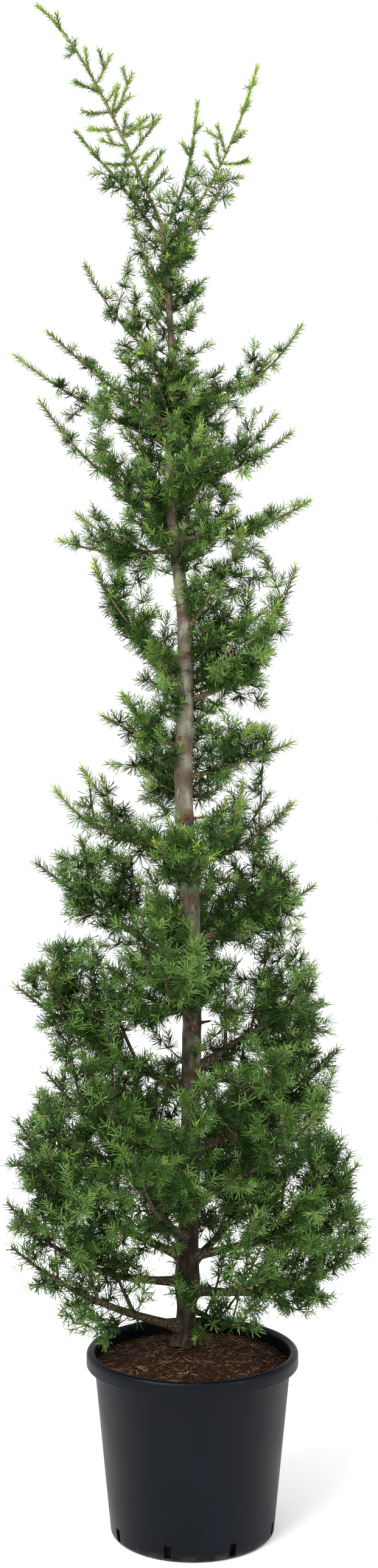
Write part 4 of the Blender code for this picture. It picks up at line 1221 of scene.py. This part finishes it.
def hides_trunk(point):
    """Whether a point stands close before one of the bare stretches of the trunk."""
    if not any(low < point.z < high for low, high in BARE_STRETCHES):
        return False
    centre, _ = trunk_at(point.z)
    return point.y < centre.y and abs(point.x - centre.x) < BARE_WIDTH


def inside_reach(point):
    """Whether needles at a point keep within the crown's outline and the solid model's box."""
    if hides_trunk(point):
        return False
    # The outline is ragged, in uneven waves of about 17 cm.
    low, high = SOLID_BOX
    wave = 0.5 + 0.5 * math.sin(37 * point.z + 4 * math.sin(23 * point.z) + 11 * point.y)
    ragged = 1.0 - wave * by_station(point.z, RAGGED_HEIGHTS, RAGGEDNESS)
    left = by_station(point.z, CROWN_HEIGHTS, CROWN_LEFT) * ragged
    right = by_station(point.z, CROWN_HEIGHTS, CROWN_RIGHT) * ragged
    within = low[1] + NEEDLE_ROOM < point.y < high[1] - NEEDLE_ROOM and point.z < high[2] - NEEDLE_ROOM
    return within and left + NEEDLE_ROOM < point.x < right - NEEDLE_ROOM


def old_share(limb, out):
    """How much of a twig carries rosettes, by how far out on its limb it grows."""
    return by_station(out, OUT_SHARES, HIGH_OLD_SHARES if limb.height > THIN_HEIGHT else LOW_OLD_SHARES)


def fill_shoots(number, axis, spread, draw, slack=FILL_SLACK):
    """Finer twigs all round a stem or fork, as long as the limb's own space allows."""
    limb = LIMBS[number]
    crest = zone(limb) == "crest"
    length = walk(axis)[-1]
    step = by_station(limb.height, FILL_HEIGHTS, FILL_STEPS) / limb.leafiness
    hanging = any(low < limb.height < high for low, high in HANGING_HEIGHTS)
    upward = 0 if hanging else UPWARD_CHANCE
    end = length * by_station(limb.height, LEADING_HEIGHTS, LEADING_SHARES)
    if crest:
        spread *= CREST_FILL_SHARE
        end = length * CREST_LEAFY_SHARE
    tip_reach = SHORTEST_FILL if limb.height > THIN_HEIGHT else LOW_TIP_REACH
    over = False
    shoots = []
    place = FILL_START
    while place < end:
        root, along = point_along(axis, place)
        roll = draw.uniform(*UPWARD_ROLL) if draw.random() < upward else draw.uniform(0, 360)
        if limb.name in DROOPING and draw.random() < DROOP_CHANCE:
            roll = draw.uniform(*DROOPING_ROLL)
        if limb.name in RISING:
            roll = draw.uniform(*RISING_ROLL)
        slant = draw.uniform(*FILL_ANGLE)
        if crest:
            over = not over
            roll = draw.uniform(*CREST_FILL_ROLL) + 180 * over
            slant = draw.uniform(*CREST_FILL_ANGLE)
        heading = slanted(along, 1, slant, roll).normalized()
        reach = min(spread * draw.uniform(*FILL_SHARE), TIP_TAPER * (length - place) + tip_reach)
        while reach >= SHORTEST_FILL:
            tip = root + heading * reach
            inner = root + heading * reach * INNER_CHECK
            open_view = not hides_trunk(inner) and inside_reach(tip)
            if open_view and in_own_space(number, [inner, tip], slack):
                line = twig_line(root, heading, reach, TWIG_RISE, draw)
                old = old_share(limb, place / length)
                shoots.append(Shoot(line, TWIG_RADIUS * FILL_THINNESS, FILL_OLD_SHARE * old, number, "twig"))
                shoots += side_shoots(number, line, SIDE_OLD_SHARE * old, draw)
                break
            reach *= FILL_SHRINK
        place += step * draw.uniform(*FILL_STEP_PLAY) * (FILL_STEP_INNER + FILL_STEP_GROWTH * place / length)
    return shoots


def trunk_shoots(number, draw):
    """Short twigs that break from the trunk itself, round where a limb leaves it."""
    limb = LIMBS[number]
    shoots = []
    for _ in range(round(by_station(limb.height, TRUNK_TWIG_HEIGHTS, TRUNK_TWIG_COUNTS))):
        height = min(limb.height + draw.uniform(*TRUNK_TWIG_DROP), TRUNK_TOP - LEADER_CLEARANCE)
        centre, radius = trunk_at(height)
        out = towards(draw.uniform(0, math.tau))
        rise = math.radians(draw.uniform(*TRUNK_TWIG_RISE))
        heading = out * math.cos(rise) + UP * math.sin(rise)
        reach = draw.uniform(*TRUNK_TWIG_LENGTH) * by_station(height, *TRUNK_TWIG_GROWTH)
        if zone(limb) == "crest":
            reach *= CREST_FILL_SHARE
        root = centre + out * radius * TRUNK_TWIG_ROOT
        line = twig_line(root, heading, reach + radius * TRUNK_TWIG_SUNK, 2 * TWIG_RISE, draw)
        if any(hides_trunk(point) for point in line):
            continue
        shoots.append(Shoot(line, TWIG_RADIUS, TRUNK_TWIG_OLD_SHARE, number, "twig"))
        shoots += side_shoots(number, line, TRUNK_TWIG_SIDES_OLD_SHARE, draw)
    return shoots


def side_shoots(number, line, old, draw):
    """Short shoots along a twig, on alternate sides and a little above or below it."""
    length = walk(line)[-1]
    place = SIDE_TWIG_STEP
    side = draw.choice((-1, 1))
    shoots = []
    while place < length - SIDE_TWIG_STEP / 2:
        root, along = point_along(line, place)
        away = side_direction(along, side, draw.uniform(*SIDE_TWIG_ROLL))
        taper = SIDE_TWIG_TAPER * (length - place) + SIDE_TWIG_TIP
        reach = min(draw.uniform(*SIDE_TWIG_LENGTH), taper)
        shoot = twig_line(root, (along + away).normalized(), reach, TWIG_RISE, draw, 2)
        shoots.append(Shoot(shoot, SIDE_TWIG_RADIUS, old, number, "side"))
        place += SIDE_TWIG_STEP * draw.uniform(*SIDE_TWIG_PLAY)
        side = -side
    return shoots


def stretch(points, start, end):
    """The part of a line between two distances along it."""
    inner = [point for point, far in zip(points, walk(points)) if start < far < end]
    return [point_along(points, start)[0], *inner, point_along(points, end)[0]]


def grow_risers(number, draw):
    """Secondary boughs that turn up from a low limb like the arms of a candlestick: their wood,
    and the shoots on them."""
    limb = LIMBS[number]
    path = LIMB_GROWTHS[number].points
    length = walk(path)[-1]
    high = limb.height > RISER_HEIGHTS[0]
    side = draw.choice((-1, 1))
    wood = []
    shoots = []
    for share in RISERS[high]:
        side = -side
        root, along = point_along(path, share * length)
        slant = draw.uniform(*RISER_ANGLE)
        heading = slanted(along, side, slant, draw.uniform(*RISER_ROLL)).normalized()
        reach = draw.uniform(*RISER_LENGTH) * (RISER_SHARE if high else 1.0)
        while reach > SHORTEST_RISER:
            line = twig_line(root, heading, reach, RISER_RISE, draw)
            outer = line[len(line) // 2 :]
            if all(inside_reach(point) for point in outer) and in_own_space(number, outer, RISER_SLACK):
                thick = RISER_SLIMNESS * limb_radius(limb, share)
                wood.append((number, Growth(line, spaced(thick, TIP_RADIUS, len(line)))))
                leafy = stretch(line, RISER_LEAFY * reach, walk(line)[-1])
                shoots.append(Shoot(leafy, STEM_RADIUS, RISER_OLD_SHARE, number, "stem"))
                shoots += fill_shoots(number, leafy, RISER_SPREAD, draw, RISER_SLACK)
                break
            reach *= FILL_SHRINK
    return wood, shoots


def grow_crown():
    """Every shoot of the crown, and the forks that carry some of them."""
    shoots = []
    forks = []
    for number, limb in enumerate(LIMBS):
        crest = zone(limb) == "crest"
        own_forks, sprays = grow_mass(number)
        draw = random.Random(SEED * 2000 + number)
        path = LIMB_GROWTHS[number].points
        length = walk(path)[-1]
        leafy = trunk_at(limb.height)[1] + STEM_CLEARANCE
        if limb.height < BARE_HEIGHT:
            leafy = max(leafy, BARE_SHARE * (limb.bough or FRONT_BARE) * length)
        elif limb.height < MIDDLE_BARE_TOP:
            leafy = max(leafy, MIDDLE_BARE * length)
        axis = stretch(path, leafy, length)
        old = CREST_STEM_OLD_SHARE if crest else STEM_OLD_SHARE
        shoots.append(Shoot(axis, limb.radius, old, number, "stem"))
        shrinks = CREST_SHRINKS if crest else HIGH_SHRINKS if limb.height > THIN_HEIGHT else LOW_SHRINKS
        for spray in sprays:
            out = (spray.root - path[0]).length / length
            shrink = by_station(out, OUT_SHARES, shrinks) ** (1 / limb.leafiness)
            old = CREST_TWIG_OLD_SHARE if crest else old_share(limb, out)
            shoots += spray_shoots(number, shrunk(spray, shrink, shrink**0.5), old, draw)
        shoots += fill_shoots(number, axis, limb.spread, draw)
        if limb.height < RISER_HEIGHTS[1]:
            own_risers, riser_twigs = grow_risers(number, draw)
            forks += own_risers
            shoots += riser_twigs
        if TWIGGY_HEIGHT < limb.height < TWIGGY_TOP:
            shoots += trunk_shoots(number, draw)
        for fork in own_forks:
            line = smooth_line(fork.points, TWIG_STEP)
            shares = spaced(0, 1, len(line)), spaced(0, 1, len(fork.radii))
            forks.append((number, Growth(line, list(np.interp(*shares, fork.radii)))))
            shoots.append(Shoot(line, STEM_RADIUS, FORK_OLD_SHARE, number, "stem"))
            shoots += fill_shoots(number, line, FORK_SPREAD_SHARE * limb.spread, draw)
    return shoots, forks


SHOOTS, FORKS = grow_crown()


def tapering(kind):
    """The wood of all shoots of a kind, thinner towards their tips."""
    return [
        Growth(shoot.line, spaced(shoot.radius, SHOOT_TAPER * shoot.radius, len(shoot.line)))
        for shoot in SHOOTS
        if shoot.kind == kind
    ]


BROWN_BARK = limb_bark("twig_bark", "#392C1E", "#5C4932", "#7C664A")
TAN_BARK = limb_bark("young_shoot_bark", "#644A2E", "#866742", "#A6865E")
LOW_FORKS = [growth for number, growth in FORKS if zone(LIMBS[number]) == "low"]
HIGH_FORKS = [growth for number, growth in FORKS if zone(LIMBS[number]) != "low"]
make_wood("low_forks", LOW_FORKS, 7, 0.0008, 120.0, DARK_BARK, "cedar_bark_low")
make_wood("high_forks", HIGH_FORKS, 6, 0.0006, 150.0, GREY_BARK, "cedar_bark")
make_wood("twigs", tapering("twig"), 4, 0.0, 1.0, BROWN_BARK, "cedar_bark")
make_wood("side_twigs", tapering("side"), 3, 0.0, 1.0, TAN_BARK, "cedar_bark")


# The needles: stiff, pointed and up to 26 mm long. They spiral singly round each young
# shoot, slanting forwards, and open in rosettes from spurs on the older wood. The new
# growth at many tips is a tight lime-green tuft. Each tint is one piece of its own.
NEEDLE_ENDS = (((-1.0, 0.0, 0.0), (2.0, 0.0, 0.0)), ((0.0, -0.65, 1.0), (0.0, 1.3, 0.0)))
GOLDEN_ANGLE = math.radians(137.508)
NEEDLE_WIDTH = 0.00098
Needling = namedtuple("Needling", "length spacing slant play")
YOUNG = Needling(0.0185, 0.0014, math.radians(48), math.radians(14))
ROSETTE = Needling(0.0235, 0.000100, math.radians(60), math.radians(38))
TUFT = Needling(0.0130, 0.0018, math.radians(32), math.radians(18))
CREST = Needling(0.0105, 0.0010, math.radians(36), math.radians(16))
SPUR_STEP = 0.0245
SPUR_LENGTH = 0.0025
TIP_LENGTH = 0.009
SPUR_START = (0.2, 0.8)
SPUR_PLAY = (0.7, 1.3)
SPUR_LEAN = 0.35
SPUR_ROOT = 0.6
TINTS = ("#1A350A", "#2C4A15", "#456629", "#688843")
TIP_TINTS = ("#6F8D43", "#9AB443")
CREST_TINTS = ("#435F26", "#6E8634")
SPUR_WEIGHTS = (0.35, 0.36, 0.21, 0.08)
YOUNG_WEIGHTS = (0.08, 0.27, 0.40, 0.25)
LEADER_HEIGHT = 2.56
LOW_DULL_TIPS = 0.8
LOW_TWIG_BARE = 0.26
LEADING_TIP_LENGTH = 0.032
SHORTEST_TIP_START = 0.4
BRIGHT_TIP_CHANCE = 0.05
LEADER_TIP_START = 0.8
LEADER_LIGHT_CHANCE = 0.65
SIDE_TINT_CHANCE = 0.3
SHORTER_HEIGHTS = (1.70, 2.20, 2.45, 2.50)
SHORTER_SHARES = (1.0, 0.76, 0.76, 1.0)
NEEDLE_SEED = 77
PLAY_SEED = 9
TIP_SEED = 20
CREST_SEED = 30


def needle_tree():
    """Sets needles along each line: turned by the golden angle, slanted, and sized by the
    length that the line carries, all with some chance in them."""
    inputs = {"Spacing": "Float", "Slant": "Float", "Play": "Float", "Width": "Float"}
    tree, given = new_growth("needle_growth", **inputs, Seed="Int", Material="Material")
    seed = given["Seed"]
    width = given["Width"]
    curve = add(tree, "GeometryNodeMeshToCurve", {0: given["Geometry"]})
    spots = add(tree, "GeometryNodeCurveToPoints", {0: curve, "Length": given["Spacing"]}, mode="LENGTH")
    index = add(tree, "GeometryNodeInputIndex")
    spiral = add(tree, "Math", {0: index, 1: GOLDEN_ANGLE}, operation="MULTIPLY")
    stray = add(tree, "FunctionNodeRandomValue", {2: -0.5, 3: 0.5, "Seed": seed})
    turn = add(tree, "Math", {0: spiral, 1: stray}, operation="ADD")
    play = add(tree, "FunctionNodeRandomValue", {2: -1.0, 3: 1.0, 7: index, "Seed": PLAY_SEED})
    lean = add(tree, "Math", {0: play, 1: given["Play"], 2: given["Slant"]}, operation="MULTIPLY_ADD")
    tilt = add(tree, "CombineXYZ", {"Y": lean, "Z": turn})
    turning = {0: spots.outputs["Rotation"], 1: tilt}
    facing = add(tree, "FunctionNodeRotateRotation", turning, rotation_space="LOCAL")
    long = add(tree, "GeometryNodeInputNamedAttribute", {"Name": "thickness"})
    some = add(tree, "FunctionNodeRandomValue", {2: 0.86, 3: 1.10, "Seed": seed})
    length = add(tree, "Math", {0: long, 1: some}, operation="MULTIPLY")
    size = add(tree, "CombineXYZ", {"X": width, "Y": width, "Z": length})
    ends = add(tree, "GeometryNodeJoinGeometry")
    for start, offset in NEEDLE_ENDS:
        edge = add(tree, "GeometryNodeMeshLine", {"Count": 2, "Start Location": start, "Offset": offset})
        feed(ends, {0: edge})
    needle = add(tree, "GeometryNodeConvexHull", {0: ends})
    setting = {"Points": spots, "Instance": needle, "Rotation": facing, "Scale": size}
    finished(tree, add(tree, "GeometryNodeInstanceOnPoints", setting), given["Material"])
    return tree


NEEDLE_TREE = needle_tree()


def needle_skin(name, colour):
    """A needle's waxy skin, in one of the crown's plain greens."""
    return new_finish(name, 0.55, Specular_IOR_Level=0.18, Base_Color=linear(colour))[0]


def spurs_on(shoot, draw):
    """Short spurs all round the older part of a shoot, leaning forwards and up."""
    length = walk(shoot.line)[-1]
    place = SPUR_STEP * draw.uniform(*SPUR_START)
    if shoot.kind == "twig" and zone(LIMBS[shoot.limb]) == "low":
        place += LOW_TWIG_BARE * length
    found = []
    while place < shoot.old * length:
        root, along = point_along(shoot.line, place)
        away = side_direction(along, 1, draw.uniform(0, 360))
        facing = (away + along * SPUR_LEAN + UP * SPUR_LEAN).normalized()
        start = root + away * shoot.radius * SPUR_ROOT
        found.append([start, start + facing * SPUR_LENGTH])
        place += SPUR_STEP * draw.uniform(*SPUR_PLAY)
    return found


def carrying(lines, length):
    """Lines as growths whose points carry a needle length, less in the young upper crown."""
    shares = [by_station(line[0].z, SHORTER_HEIGHTS, SHORTER_SHARES) for line in lines]
    return [Growth(line, [length * share] * len(line)) for line, share in zip(lines, shares)]


def needle_piece(name, lines, needling, skin, seed, *nodes):
    """One piece of needles, all of one kind and tint, set along the given lines."""
    values = {"Spacing": needling.spacing, "Slant": needling.slant, "Play": needling.play}
    values |= {"Width": NEEDLE_WIDTH, "Seed": seed, "Material": skin}
    piece = grown(scaffold(name, carrying(lines, needling.length)), NEEDLE_TREE, values)
    dress(piece, skin, "cedar_needles", *nodes)


def make_needles():
    """Deals the shoots out by spray over the tints, and sets needles on them."""
    draw = random.Random(NEEDLE_SEED)
    young = [[] for _ in TINTS]
    spurs = {part: [[] for _ in TINTS] for part in ("low", "high")}
    tips = [[] for _ in TIP_TINTS]
    crest = [[] for _ in CREST_TINTS]
    old_tint = young_tint = 0
    for shoot in SHOOTS:
        part = zone(LIMBS[shoot.limb])
        length = walk(shoot.line)[-1]
        if part == "crest" and shoot.line[-1].z > LEADER_HEIGHT:
            crest[draw.random() < LEADER_LIGHT_CHANCE].append(shoot.line)
            tips[draw.random() < 0.5].append(stretch(shoot.line, LEADER_TIP_START * length, length))
            continue
        if shoot.kind != "side" or draw.random() < SIDE_TINT_CHANCE:
            old_tint = draw.choices(range(len(TINTS)), SPUR_WEIGHTS)[0]
            young_tint = draw.choices(range(len(TINTS)), YOUNG_WEIGHTS)[0]
        spurs["low" if part == "low" else "high"][old_tint] += spurs_on(shoot, draw)
        start = shoot.old * length
        tip = max(length - TIP_LENGTH, SHORTEST_TIP_START * length)
        if tip > start:
            young[young_tint].append(stretch(shoot.line, start, tip))
        if part == "low" and draw.random() < LOW_DULL_TIPS:
            young[2 + (draw.random() < 0.5)].append(stretch(shoot.line, tip, length))
            continue
        leading = shoot.kind == "stem" and LIMBS[shoot.limb].height > THIN_HEIGHT
        if leading:
            tip = max(length - LEADING_TIP_LENGTH, SHORTEST_TIP_START * length)
        bright = leading or draw.random() < BRIGHT_TIP_CHANCE
        tips[bright].append(stretch(shoot.line, tip, length))
    masses = [f"foliage_{limb.name}" for limb in LIMBS]
    for number, colour in enumerate(TINTS):
        skin = needle_skin(f"needle_skin_{number + 1}", colour)
        nodes = masses if number == 0 else ()
        needle_piece(f"shoot_needles_{number + 1}", young[number], YOUNG, skin, number, *nodes)
        for part, lines in spurs.items():
            needle_piece(f"{part}_rosettes_{number + 1}", lines[number], ROSETTE, skin, number)
    for number, colour in enumerate(TIP_TINTS):
        skin = needle_skin(f"tip_skin_{number + 1}", colour)
        needle_piece(f"tip_needles_{number + 1}", tips[number], TUFT, skin, TIP_SEED + number)
    for number, colour in enumerate(CREST_TINTS):
        skin = needle_skin(f"crest_skin_{number + 1}", colour)
        needle_piece(f"crest_needles_{number + 1}", crest[number], CREST, skin, CREST_SEED + number)


make_needles()


# The stage: a pale floor, soft light from all sides with the key at the left front, and
# a camera where the picture was taken, level with the middle of the tree.
FLOOR_SIZE = 60.0
CAMERA_PLACE = (-0.0065, -3.6, 1.5)
CAMERA_PITCH = -1.417
LENS = 44.08
SENSOR = 36.0
LIGHTS = (
    ("key", (-2.6, -3.2, 5.0), (0.0, 0.0, 1.4), 4.0, 400.0),
    ("fill", (3.4, -3.0, 2.4), (0.0, 0.0, 1.0), 3.0, 80.0),
)


def area_light(name, place, target, size, power):
    """A round lamp turned towards a target; its size is in metres and its power in watts."""
    data = bpy.data.lights.new(name, "AREA")
    data.shape = "DISK"
    data.size = size
    data.energy = power
    light = placed(name, data)
    light.location = place
    light.rotation_euler = (Vector(target) - Vector(place)).to_track_quat("-Z", "Y").to_euler()


def make_stage():
    """The floor, the light from all sides, the lamps and the camera."""
    shape = bmesh.new()
    bmesh.ops.create_grid(shape, x_segments=1, y_segments=1, size=FLOOR_SIZE / 2)
    floor = from_shape("floor", shape)
    # The floor is white card: matt and even.
    floor.data.materials.append(new_finish("pale_floor", 0.9, Base_Color=linear("#FFFFFF"))[0])
    world = bpy.data.worlds.new("studio")
    bpy.context.scene.world = world
    bpy.context.scene.view_settings.view_transform = "Standard"
    world.use_nodes = True
    feed(world.node_tree.nodes["Background"], {"Color": (1.0, 1.0, 1.0, 1.0), "Strength": 1.0})
    for lamp in LIGHTS:
        area_light(*lamp)
    data = bpy.data.cameras.new("camera")
    data.lens = LENS
    data.sensor_width = SENSOR
    camera = placed("camera", data)
    camera.location = CAMERA_PLACE
    camera.rotation_euler = (math.radians(90 + CAMERA_PITCH), 0.0, 0.0)
    bpy.context.scene.camera = camera


make_stage()
